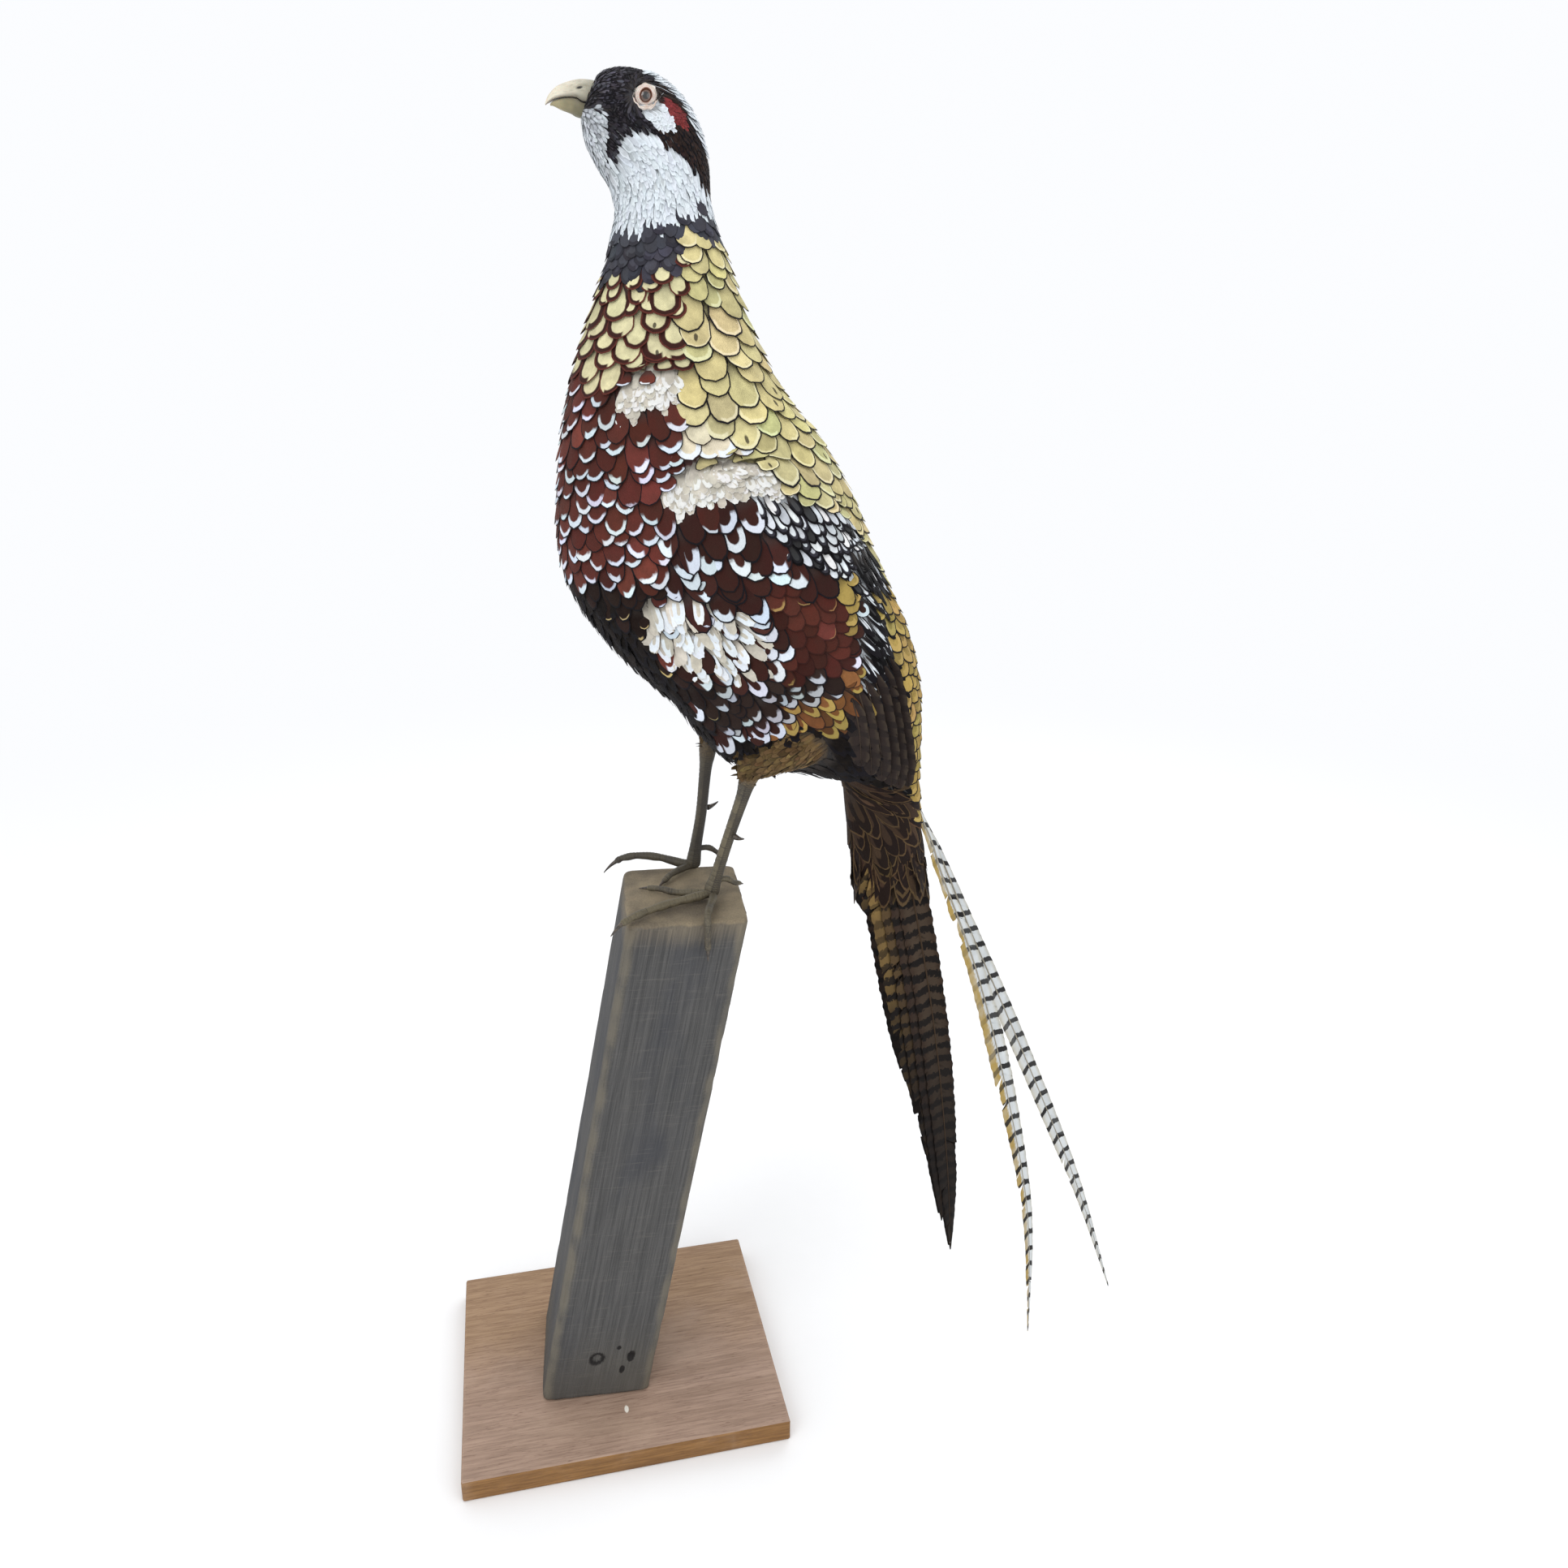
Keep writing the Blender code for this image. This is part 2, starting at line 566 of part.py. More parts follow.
def make_post(collection, parent, material):
    """A square timber that leans back, sawn level at both ends, with worn corners."""
    bm = bmesh.new()
    bmesh.ops.create_cube(bm, size=1)
    low = BOARD_THICK + GAP
    for vert in bm.verts:
        top = vert.co.z > 0
        x, y = POST_HEAD if top else POST_FOOT
        vert.co = Vector((x + vert.co.x * POST_DEPTH, y + vert.co.y * POST_WIDTH, POST_TOP if top else low))
    upright = [edge for edge in bm.edges if abs(edge.verts[0].co.z - edge.verts[1].co.z) > POST_TOP / 2]
    bmesh.ops.bevel(bm, geom=upright, offset=POST_CHAMFER, segments=2, profile=0.5, affect="EDGES")
    rim = [edge for edge in bm.edges if all(vert.co.z > POST_TOP - MM for vert in edge.verts)]
    bmesh.ops.bevel(bm, geom=rim, offset=POST_WEAR, segments=1, profile=0.5, affect="EDGES")
    mesh = bpy.data.meshes.new("stand_post")
    bm.to_mesh(mesh)
    bm.free()
    place("stand_post", mesh, collection, parent, material)


# ---- assembly ---------------------------------------------------------------------------------------------
def main():
    clear_scene()
    model = new_collection("mounted_pheasant")
    cutters = new_collection("cutters")
    paint = {name: make_material(name, colour) for name, colour in COLOURS.items()}
    paint["eye"].node_tree.nodes["Principled BSDF"].inputs["Roughness"].default_value = 0.05

    frame = bpy.data.objects.new("bird_frame", None)
    model.objects.link(frame)
    frame.location = (BIRD_X, 0, 0)
    frame.rotation_euler = (0, 0, BIRD_YAW)

    coats = {"head": "skull", "neck": "white", "trunk": "chestnut", "rump": "gold", "tail_coverts": "brown"}
    flesh = {name: make_flesh(name, model, frame, paint[coat]) for name, coat in coats.items()}
    make_eyes(flesh["head"], model, cutters, frame, paint["eye"])
    make_bill(model, frame, paint["horn"])
    room = make_room(cutters, frame)
    for side, sign in (("left", 1), ("right", -1)):
        make_wing(side, sign, model, frame, paint["chestnut"])
        make_thigh(side, room, model, frame, paint["gold"])
        make_tarsus(side, model, frame, paint["leg"])
        make_spur(side, model, frame, paint["claw"])
        make_side_feathers(side, sign, model, frame, paint["brown"])
    for name in TOE:
        make_toe(name, model, frame, paint["leg"], paint["claw"])
    for name, (path, widths, turn) in LONG_FEATHERS.items():
        outward = Vector((math.cos(math.radians(turn)), math.sin(math.radians(turn)), 0))
        make_feather(name, path, widths, outward, LONG_FEATHER_ROWS, model, frame, paint["barred"])
    make_post(model, frame, paint["weathered_wood"])
    make_board(model, paint["board_wood"])


main()
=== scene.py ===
"""Dresses the mounted pheasant: skin, plumage, head, feet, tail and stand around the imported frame."""

import json
import math
from collections import namedtuple

import bmesh
import bpy
import numpy as np
from bpy.props import FloatProperty, FloatVectorProperty, IntProperty, PointerProperty
from mathutils import Euler, Matrix, Vector, noise
from mathutils.bvhtree import BVHTree
from mathutils.kdtree import KDTree

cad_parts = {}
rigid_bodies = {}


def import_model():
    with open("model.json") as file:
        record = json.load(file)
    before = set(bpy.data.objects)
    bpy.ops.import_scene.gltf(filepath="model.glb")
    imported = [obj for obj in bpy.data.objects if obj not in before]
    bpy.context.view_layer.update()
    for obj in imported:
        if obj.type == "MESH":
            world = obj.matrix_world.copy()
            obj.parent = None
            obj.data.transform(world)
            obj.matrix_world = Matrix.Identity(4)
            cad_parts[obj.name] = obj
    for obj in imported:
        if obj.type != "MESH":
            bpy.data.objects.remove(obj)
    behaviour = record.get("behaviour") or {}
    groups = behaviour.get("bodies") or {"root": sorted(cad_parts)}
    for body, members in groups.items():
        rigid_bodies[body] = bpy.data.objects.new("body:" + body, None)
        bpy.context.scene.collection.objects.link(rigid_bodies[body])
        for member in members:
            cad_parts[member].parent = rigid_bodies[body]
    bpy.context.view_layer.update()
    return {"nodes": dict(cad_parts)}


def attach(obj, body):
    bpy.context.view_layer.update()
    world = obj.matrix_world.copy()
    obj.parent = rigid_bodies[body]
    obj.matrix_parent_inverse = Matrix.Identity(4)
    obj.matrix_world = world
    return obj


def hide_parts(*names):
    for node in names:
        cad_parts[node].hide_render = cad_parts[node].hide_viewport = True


bl_info = {
    "name": "Mounted pheasant",
    "version": (1, 0, 0),
    "blender": (4, 5, 0),
    "location": "3D View > Sidebar > Pheasant",
    "description": "Plumage, head, feet, tail and stand of a mounted pheasant cock",
    "category": "Object",
}

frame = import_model()
NODES = frame["nodes"]
MM = 0.001

# The bird's own frame: its left towards +X, forward -Y, up +Z, turned a little on the board.
BIRD_X = -4 * MM
BIRD_YAW = math.radians(-4.6)
TURN = np.array(Matrix.Rotation(BIRD_YAW, 3, "Z"))
FLESH = ["head", "neck", "trunk", "rump", "tail_coverts", "wing_left", "wing_right",
         "thigh_left", "thigh_right"]
# The line down the middle of the head, neck and body, from the bill to the tail: Y Z in millimetres.
CORE = [(10, 833.5), (24, 829), (38, 819.5), (47, 808), (51.2, 795), (52, 780), (51.8, 760), (53, 730),
        (55, 700), (59, 675), (66, 645), (79, 602), (95, 565), (115, 535), (135, 505), (153, 478),
        (172, 458), (185, 438), (192, 396)]
CORE_STEPS = 30


def to_world(points):
    """Points in the bird's own frame, in millimetres, as places in metres."""
    return np.atleast_2d(points) @ TURN.T * MM + np.array([BIRD_X, 0, 0])


def to_bird(points):
    """Places in metres, in the bird's own frame, in millimetres."""
    return (np.atleast_2d(points) - np.array([BIRD_X, 0, 0])) @ TURN / MM


def unit(rows):
    return rows / np.maximum(np.linalg.norm(rows, axis=-1, keepdims=True), 1e-12)


def lengths(path):
    """How far along a path each of its rows lies."""
    return np.concatenate([[0], np.cumsum(np.linalg.norm(np.diff(path, axis=0), axis=1))])


def tone(red, green, blue):
    """A colour given in 0 to 255 steps, as linear light."""
    share = np.array([red, green, blue]) / 255
    return tuple(np.where(share <= 0.04045, share / 12.92, ((share + 0.055) / 1.055) ** 2.4))


# ---- node trees -------------------------------------------------------------------------------------------
class Wire:
    """A node's output that takes part in Python maths by adding Math nodes."""

    def __init__(self, net, socket):
        self.net, self.socket = net, socket

    def maths(self, operation, *others):
        return self.net.add("ShaderNodeMath", {"operation": operation}, dict(enumerate((self, *others))))

    def __add__(self, other):
        return self.maths("ADD", other)

    def __sub__(self, other):
        return self.maths("SUBTRACT", other)

    def __mul__(self, other):
        return self.maths("MULTIPLY", other)

    def __pow__(self, other):
        return self.maths("POWER", other)

    def __rsub__(self, other):
        return self.net.add("ShaderNodeMath", {"operation": "SUBTRACT"}, {0: other, 1: self})

    def __abs__(self):
        return self.maths("ABSOLUTE")

    __radd__, __rmul__ = __add__, __mul__

    def sine(self):
        return self.maths("SINE")

    def ramp(self, low, high):
        """0 below low, 1 above high, smooth between."""
        return self.net.add("ShaderNodeMapRange", {"interpolation_type": "SMOOTHSTEP"},
                            {0: self, 1: low, 2: high, 3: 0.0, 4: 1.0})

    def out(self, name):
        return Wire(self.net, self.socket.node.outputs[name])


class Net:
    """A node tree that is filled by add()."""

    def __init__(self, tree):
        self.tree = tree

    def add(self, kind, settings=(), sockets=(), out=0):
        node = self.tree.nodes.new(kind)
        node.location.x = 180 * len(self.tree.nodes)
        for name, value in dict(settings).items():
            setattr(node, name, value)
        for key, value in dict(sockets).items():
            if isinstance(value, Wire):
                self.tree.links.new(value.socket, node.inputs[key])
            elif value is not None:
                node.inputs[key].default_value = value
        return Wire(self, node.outputs[out]) if node.outputs else node

    def attribute(self, name, out="Fac"):
        return self.add("ShaderNodeAttribute", {"attribute_name": name}, out=out)

    def mix(self, share, low, high, blend="MIX"):
        low, high = ((*c, 1.0) if isinstance(c, tuple) and len(c) == 3 else c for c in (low, high))
        way = {"data_type": "RGBA", "blend_type": blend}
        return self.add("ShaderNodeMix", way, {0: share, 6: low, 7: high}, 2)

    def shaded(self, colour, light):
        """A colour made darker or lighter by a number."""
        grey = self.add("ShaderNodeCombineColor", {}, {0: light, 1: light, 2: light})
        return self.mix(1.0, colour, grey, "MULTIPLY")

    def noise(self, where, scale, detail=3.0, roughness=0.55, distortion=0.0):
        return self.add("ShaderNodeTexNoise", {}, {"Vector": where, "Scale": scale, "Detail": detail,
                                                   "Roughness": roughness, "Distortion": distortion})

    def scaled(self, where, by):
        return self.add("ShaderNodeMapping", {}, {"Vector": where, "Scale": by})

    def split(self, vector):
        """A vector's parts, which out() gives by their letters."""
        return self.add("ShaderNodeSeparateXYZ", {}, {0: vector})

    def distance(self, first, second):
        return self.add("ShaderNodeVectorMath", {"operation": "DISTANCE"}, {0: first, 1: second}, "Value")

    def bump(self, height, strength, distance):
        return self.add("ShaderNodeBump", {}, {"Height": height, "Strength": strength, "Distance": distance})


def new_material(name, fixed=()):
    """A material whose shader has these fixed values, and the net to fill it with."""
    material = bpy.data.materials.new(name)
    material.use_nodes = True
    net = Net(material.node_tree)
    shader = material.node_tree.nodes["Principled BSDF"]
    for key, value in dict(fixed).items():
        shader.inputs[key].default_value = value
    return material, net, shader


def feed(net, shader, **sockets):
    for key, wire in sockets.items():
        net.tree.links.new(wire.socket, shader.inputs[key.replace("_", " ")])


def object_place(net):
    return net.add("ShaderNodeTexCoord", out="Object")


# ---- meshes -----------------------------------------------------------------------------------------------
def link(obj):
    bpy.context.scene.collection.objects.link(obj)
    return obj


def baked(obj):
    """The object's mesh with its modifiers applied and removed."""
    bpy.context.view_layer.update()
    mesh = bpy.data.meshes.new_from_object(obj.evaluated_get(bpy.context.evaluated_depsgraph_get()))
    mesh.name = obj.name
    obj.modifiers.clear()
    old, obj.data = obj.data, mesh
    bpy.data.meshes.remove(old)
    return obj


def write(mesh, name, kind, values):
    """Stores these values at the mesh's points."""
    field = {"FLOAT": "value", "INT": "value", "FLOAT_COLOR": "color"}.get(kind, "vector")
    layer = mesh.attributes.get(name) or mesh.attributes.new(name, kind, "POINT")
    exact = np.int32 if kind == "INT" else np.float32
    layer.data.foreach_set(field, np.ascontiguousarray(values, exact).ravel())


def coordinates(mesh, normals=False):
    found = np.zeros(len(mesh.vertices) * 3, np.float32)
    if normals:
        mesh.vertex_normals.foreach_get("vector", found)
    else:
        mesh.vertices.foreach_get("co", found)
    return found.reshape(-1, 3).astype(float)


def finish_piece(obj, material=None, nodes=()):
    if material:
        obj.data.materials.clear()
        obj.data.materials.append(material)
    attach(obj, "root")
    if nodes:
        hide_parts(*nodes)
    return obj


def closed_copy(names):
    """One mesh of these nodes' own surfaces, with their loose triangles welded."""
    bm = bmesh.new()
    for name in names:
        bm.from_mesh(NODES[name].data)
    bmesh.ops.remove_doubles(bm, verts=bm.verts, dist=1e-6)
    return bm


def object_from(name, bm):
    """A smoothly shaded object of this bmesh, which is used up."""
    mesh = bpy.data.meshes.new(name)
    bm.to_mesh(mesh)
    bm.free()
    mesh.shade_smooth()
    return link(bpy.data.objects.new(name, mesh))


def remeshed(name, nodes, voxel):
    """One closed object round these nodes, made of even cells of this size."""
    obj = object_from(name, closed_copy(nodes))
    cells = obj.modifiers.new("cells", "REMESH")
    cells.mode, cells.voxel_size = "VOXEL", voxel
    return baked(obj)


# ---- stage ------------------------------------------------------------------------------------------------
CAMERA_AT = (0.69736, -0.04356, 0.69623)
# Its turn round X, Y and Z from looking straight down, in degrees.
CAMERA_TURN = (70.934, -0.558, 76.768)
CAMERA_LENS = 27.02
# Name, place, size, power and the point that each soft light faces.
LIGHTS = [
    ("window_light", (1.7, -1.5, 1.9), 1.6, 16, (0, 0.05, 0.5)),
    ("front_light", (1.6, 0.9, 1.0), 1.5, 5, (0, 0.1, 0.4)),
    ("back_light", (-1.5, 1.2, 1.7), 1.6, 8, (0, 0.1, 0.4)),
    ("top_light", (0.1, 0.0, 2.6), 1.4, 7, (0, 0.05, 0.3)),
]
# The paper floor fades into the surroundings between these distances from the board.
FADE_FROM, FADE_TO = 0.5, 2.2
FLOOR_HALF = 40.0


def make_stage(floor_colour, sky, sky_strength):
    """The camera, four soft lights, the light all round, and a paper floor that fades into it."""
    camera = bpy.data.cameras.new("camera")
    camera.lens = CAMERA_LENS
    camera.clip_start = 0.01
    holder = link(bpy.data.objects.new("camera", camera))
    holder.matrix_world = Matrix.LocRotScale(CAMERA_AT, Euler([math.radians(turn) for turn in CAMERA_TURN]), None)
    bpy.context.scene.camera = holder
    for name, place, size, power, target in LIGHTS:
        light = bpy.data.lights.new(name, "AREA")
        light.shape, light.size, light.energy = "DISK", size, power
        lamp = link(bpy.data.objects.new(name, light))
        turn = (Vector(place) - Vector(target)).to_track_quat("Z", "Y")
        lamp.matrix_world = Matrix.Translation(place) @ turn.to_matrix().to_4x4()
    world = bpy.data.worlds.new("world")
    world.use_nodes = True
    world.node_tree.nodes["Background"].inputs["Color"].default_value = (*sky, 1)
    world.node_tree.nodes["Background"].inputs["Strength"].default_value = sky_strength
    bpy.context.scene.world = world
    bpy.context.scene.view_settings.view_transform = "Standard"
    corners = [(-1, -1), (1, -1), (1, 1), (-1, 1)]
    sheet = bpy.data.meshes.new("floor")
    sheet.from_pydata([(x * FLOOR_HALF, y * FLOOR_HALF, 0) for x, y in corners], [], [(0, 1, 2, 3)])
    floor = link(bpy.data.objects.new("floor", sheet))
    material, net, shader = new_material("floor_paper", {"Roughness": 0.9, "Specular IOR Level": 0.0,
                                                         "Emission Strength": sky_strength})
    where = object_place(net)
    away = net.distance(where, (0.0, 0.0, 0.0)).ramp(FADE_FROM, FADE_TO)
    speck = net.noise(where, 60.0)
    paper = net.mix(speck, tuple(c * 0.985 for c in floor_colour), tuple(floor_colour))
    feed(net, shader, Base_Color=net.mix(away, paper, (0.0, 0.0, 0.0)),
         Emission_Color=net.mix(away, (0.0, 0.0, 0.0), tuple(sky)))
    floor.data.materials.append(material)


# ---- the body's own coordinates ---------------------------------------------------------------------------
def spline(rows, count):
    """This many rows, evenly spaced by row number, on a smooth curve through the rows of a table."""
    table = np.array(rows, float)
    at = np.linspace(0, len(table) - 1, count)
    k = np.minimum(at.astype(int), len(table) - 2)
    t = (at - k)[:, None]
    before, start = table[np.maximum(k - 1, 0)], table[k]
    end, after = table[k + 1], table[np.minimum(k + 2, len(table) - 1)]
    return ((2 * t**3 - 3 * t**2 + 1) * start + (t**3 - 2 * t**2 + t) * (end - before) / 2
            + (3 * t**2 - 2 * t**3) * end + (t**3 - t**2) * (after - start) / 2)


def core_line():
    """Places, directions and lengths along the core, close together and smooth."""
    line = spline(CORE, (len(CORE) - 1) * CORE_STEPS + 1)
    return line, unit(np.gradient(line, axis=0)), lengths(line)


LINE, LINE_RUN, LINE_LENGTH = core_line()
# How many points are compared with the core at a time.
BATCH = 4000


def body_coordinates(points):
    """How far along the core each point lies, its angle round it from the back, and the core's run there."""
    nearest = np.zeros(len(points), int)
    for start in range(0, len(points), BATCH):
        part = points[start : start + BATCH, 1:]
        nearest[start : start + BATCH] = ((part[:, None] - LINE[None]) ** 2).sum(2).argmin(1)
    run = LINE_RUN[nearest]
    offset = points[:, 1:] - LINE[nearest]
    # The back lies to the left of the run seen from the bird's left: up over the head, rear down the body.
    back = offset[:, 0] * -run[:, 1] + offset[:, 1] * run[:, 0]
    angle = np.degrees(np.arctan2(np.abs(points[:, 0]), back))
    return LINE_LENGTH[nearest], angle, run


def between(value, places, values):
    """The values at these places, read off by straight lines between them."""
    order = np.argsort(places)
    return np.interp(value, np.array(places, float)[order], np.array(values, float)[order])


def oval(y, z, centre, half, lean):
    """Under 1 inside a leaning ellipse on the bird's side."""
    c, s = math.cos(math.radians(lean)), math.sin(math.radians(lean))
    along, across = (y - centre[0]) * c + (z - centre[1]) * s, (z - centre[1]) * c - (y - centre[0]) * s
    return np.hypot(along / half[0], across / half[1])


# ---- plumage ----------------------------------------------------------------------------------------------
# A kind of feather: gaps across and along its neighbours, length and width, in millimetres; the colours of its
# middle, its mark and its rim; where the mark and the rim begin, from 0 at the middle to 1 at the edge; how far
# down the feather the mark starts, and the share of feathers that have one; how far its tip stands off the skin
# in millimetres; and how much it varies.
Plume = namedtuple("Plume", "across along length width ground mark rim mark_at rim_at start share tip vary")
BLACK, PITCH, SOOT, SLATE = tone(22, 20, 24), tone(15, 11, 10), tone(51, 50, 57), tone(68, 69, 78)
WHITE, SNOW, MILK, GREY = tone(221, 228, 234), tone(218, 226, 232), tone(203, 211, 221), tone(168, 172, 180)
CREAM, DOWN, DOWN_TIP = tone(222, 212, 186), tone(204, 198, 184), tone(222, 222, 219)
GOLD, PALE_GOLD, DEEP_GOLD = tone(200, 190, 138), tone(216, 209, 166), tone(158, 136, 74)
OLD_GOLD, BUFF, OCHRE = tone(174, 150, 88), tone(194, 168, 122), tone(96, 77, 48)
CHESTNUT, DARK_CHESTNUT, RUSSET = tone(87, 43, 36), tone(54, 28, 24), tone(78, 38, 31)
RED, RUST, TAN = tone(120, 50, 51), tone(108, 70, 40), tone(150, 120, 76)
BROWN, OCHRE_BROWN, UMBER_BROWN = tone(98, 78, 52), tone(80, 63, 43), tone(62, 47, 36)
UMBER, PEAT, DARK_BROWN = tone(42, 30, 27), tone(35, 21, 18), tone(32, 23, 20)
PLUMES = {
    "face": Plume(1.25, 2.2, 6.0, 1.9, SOOT, BLACK, BLACK, 0.35, 0.95, 0.0, 0.7, 0.9, 0.75),
    "band": Plume(1.5, 2.6, 7.5, 2.3, UMBER, BLACK, BLACK, 0.5, 0.95, 0.0, 0.8, 1.1, 0.5),
    "cap": Plume(1.4, 2.6, 7.0, 2.1, WHITE, WHITE, WHITE, 0.6, 0.97, 0.0, 1.0, 2.2, 0.06),
    "chin": Plume(1.4, 2.4, 6.5, 2.0, WHITE, GREY, WHITE, 0.7, 0.97, 0.4, 0.5, 1.1, 0.14),
    "patch": Plume(1.1, 1.8, 6.0, 2.7, WHITE, WHITE, WHITE, 0.6, 0.97, 0.0, 1.0, 0.8, 0.04),
    "wattle": Plume(1.0, 1.2, 3.4, 2.0, RED, RED, DARK_CHESTNUT, 0.5, 0.97, 0.0, 1.0, 0.6, 0.3),
    "throat": Plume(1.7, 3.4, 13.0, 2.9, SNOW, SNOW, GREY, 0.6, 0.98, 0.0, 1.0, 1.7, 0.09),
    "collar": Plume(4.6, 5.6, 17.0, 8.4, SLATE, SOOT, BLACK, 0.6, 0.97, 0.3, 0.6, 2.0, 0.3),
    "mantle": Plume(13.0, 9.4, 27.0, 18.0, GOLD, PALE_GOLD, BLACK, 0.74, 0.905, 0.5, 0.5, 3.0, 0.16),
    "nape": Plume(8.6, 6.8, 18.0, 12.0, GOLD, PALE_GOLD, BLACK, 0.72, 0.9, 0.4, 0.6, 2.6, 0.16),
    "cream": Plume(12.0, 9.0, 25.0, 16.0, CREAM, WHITE, UMBER, 0.55, 0.93, 0.4, 0.7, 3.0, 0.1),
    "oval": Plume(12.0, 8.6, 22.0, 16.0, PALE_GOLD, DARK_CHESTNUT, CHESTNUT, 0.62, 0.88, 0.0, 1.0, 3.0, 0.12),
    "pearl": Plume(8.4, 6.4, 16.0, 11.0, PALE_GOLD, DARK_CHESTNUT, CHESTNUT, 0.6, 0.84, 0.0, 1.0, 2.6, 0.12),
    "breast": Plume(10.0, 8.8, 24.0, 14.2, CHESTNUT, MILK, BLACK, 0.66, 0.92, 0.75, 0.86, 3.0, 0.45),
    "flank": Plume(9.4, 9.2, 27.0, 13.5, DARK_CHESTNUT, MILK, BLACK, 0.42, 0.9, 0.56, 0.56, 3.2, 0.5),
    "bay": Plume(8.5, 8.4, 22.0, 11.5, RUSSET, TAN, DARK_CHESTNUT, 0.8, 0.9, 0.8, 0.3, 2.8, 0.45),
    "umber": Plume(9.0, 8.6, 24.0, 12.0, PEAT, BUFF, BLACK, 0.75, 0.88, 0.8, 0.2, 3.0, 0.5),
    "lower": Plume(8.2, 7.6, 23.0, 11.5, UMBER, GREY, BLACK, 0.5, 0.9, 0.7, 0.75, 3.0, 0.35),
    "cluster": Plume(4.2, 6.2, 19.0, 6.8, DOWN, WHITE, DOWN, 0.3, 0.97, 0.4, 0.75, 3.4, 0.16),
    "down": Plume(1.9, 2.5, 12.0, 5.4, DOWN, DOWN_TIP, DOWN_TIP, 0.3, 0.97, 0.5, 0.6, 1.5, 0.06),
    "mottle": Plume(4.6, 5.4, 15.0, 6.2, WHITE, SOOT, BLACK, 0.45, 0.72, 0.2, 0.6, 2.8, 0.3),
    "streak": Plume(4.2, 7.0, 21.0, 5.4, WHITE, BLACK, BLACK, 0.24, 0.7, 0.0, 1.0, 2.8, 0.3),
    "rump": Plume(9.5, 7.6, 23.0, 13.5, DEEP_GOLD, OLD_GOLD, BLACK, 0.5, 0.88, 0.4, 0.7, 3.0, 0.24),
    "fringe": Plume(8.2, 7.6, 25.0, 11.0, RUST, DEEP_GOLD, UMBER, 0.5, 0.92, 0.62, 0.6, 3.0, 0.45),
    "belly": Plume(6.4, 6.6, 21.0, 8.0, PITCH, BLACK, BLACK, 0.5, 0.9, 0.0, 0.7, 3.4, 0.4),
    "thigh": Plume(1.8, 3.6, 12.0, 3.4, OCHRE, BROWN, DARK_BROWN, 0.5, 0.96, 0.3, 0.6, 1.5, 0.6),
    "tailcover": Plume(7.0, 7.5, 40.0, 13.0, UMBER_BROWN, DARK_BROWN, OCHRE_BROWN, 0.35, 0.9, 0.3, 0.9, 2.6,
                       0.35),
}
KIND = {name: number for number, name in enumerate(PLUMES)}
PLUME_TABLE = {field: np.array([getattr(plume, field) for plume in PLUMES.values()]) for field in Plume._fields}

# Borders on the bird's side, each as a list of Y and a list of Z, in millimetres.
CROWN_LINE = ([29, 34, 42, 51, 59, 65, 70, 74.5, 77], [842, 843, 842, 838.2, 832, 824.3, 816.8, 809, 801.5])
CHEEK_LINE = ([20, 27.4, 35, 45.4, 53.7, 62, 70.3, 76, 80], [812, 814, 817, 816.5, 813, 806, 798.5, 791.5, 788])
RUFF_LINE = ([20, 27, 44, 57, 70, 80], [777, 774, 778, 782, 788, 786])
COLLAR_LINE = ([15, 22, 40, 50, 56, 60, 68, 80], [759, 758, 754, 757, 764, 774, 777, 776])
# Where gold meets chestnut down the side, and how far back the black belly reaches: Z, then Y.
SHOULDER_LINE = ([475, 500, 518, 534, 548, 567, 581, 596, 612, 630, 640, 645, 650, 656, 677, 690],
                 [189, 184, 181, 178, 175, 171, 165, 157, 149, 128, 110, 96, 74, 62, 60, 50])
BELLY_LINE = ([604, 599, 586, 567, 548, 528, 513, 498], [-30, -11, 11, 31, 37, 50, 60, 70])
# The downy folds over the breast and the bend of the wing, and the lower edge of the vent: Y, then Z.
FOLD_LINE = ([10, 23, 36, 53, 62], [669, 681, 690, 694, 688])
WRIST_LINE = ([42, 51, 65, 82, 99, 112], [626, 638, 645, 646, 643, 638])
VENT_LINE = ([50, 72, 110, 134, 150, 160, 170], [500, 497, 505, 514, 520, 516, 510])
# Fields on the bird's side, by their corners in Y and Z.
CLUSTER_FIELD = [(33, 577), (52, 587), (76, 583), (92, 568), (88, 546), (62, 543), (39, 556)]
BAY_FIELD = [(92, 604), (118, 602), (140, 584), (141, 562), (124, 545), (99, 542), (102, 570)]
UMBER_FIELD = [(-20, 600), (38, 600), (40, 572), (40, 552), (62, 539), (64, 512), (37, 545), (11, 584)]
LOWER_FIELD = [(62, 540), (101, 542), (121, 557), (138, 543), (117, 518), (66, 509)]
CREAM_FIELD = [(45, 677), (61, 691), (77, 687), (92, 679), (89, 667), (73, 664), (54, 667)]
MOTTLE_FIELD = [(85, 640), (118, 636), (152, 624), (165, 597), (159, 575), (141, 588), (113, 611), (98, 622)]
STREAK_FIELD = [(157, 577), (166, 597), (182, 568), (185, 513), (184, 484), (166, 496), (156, 530)]
FRINGE_FIELD = [(116, 521), (140, 550), (156, 558), (160, 532), (152, 512), (112, 506)]
# Leaning ovals on the bird's side: middle, half length and breadth, and lean in degrees.
RUMP_OVAL = ((142, 584), (16, 8), -70)
WATTLE_OVAL = ((58.5, 825), (8.5, 3.6), -48)
PATCH_OVAL = ((48.8, 824.2), (8.8, 4.8), -32)
# The share of the cluster's field that is pale.
CLUSTER_SHARE = 0.46
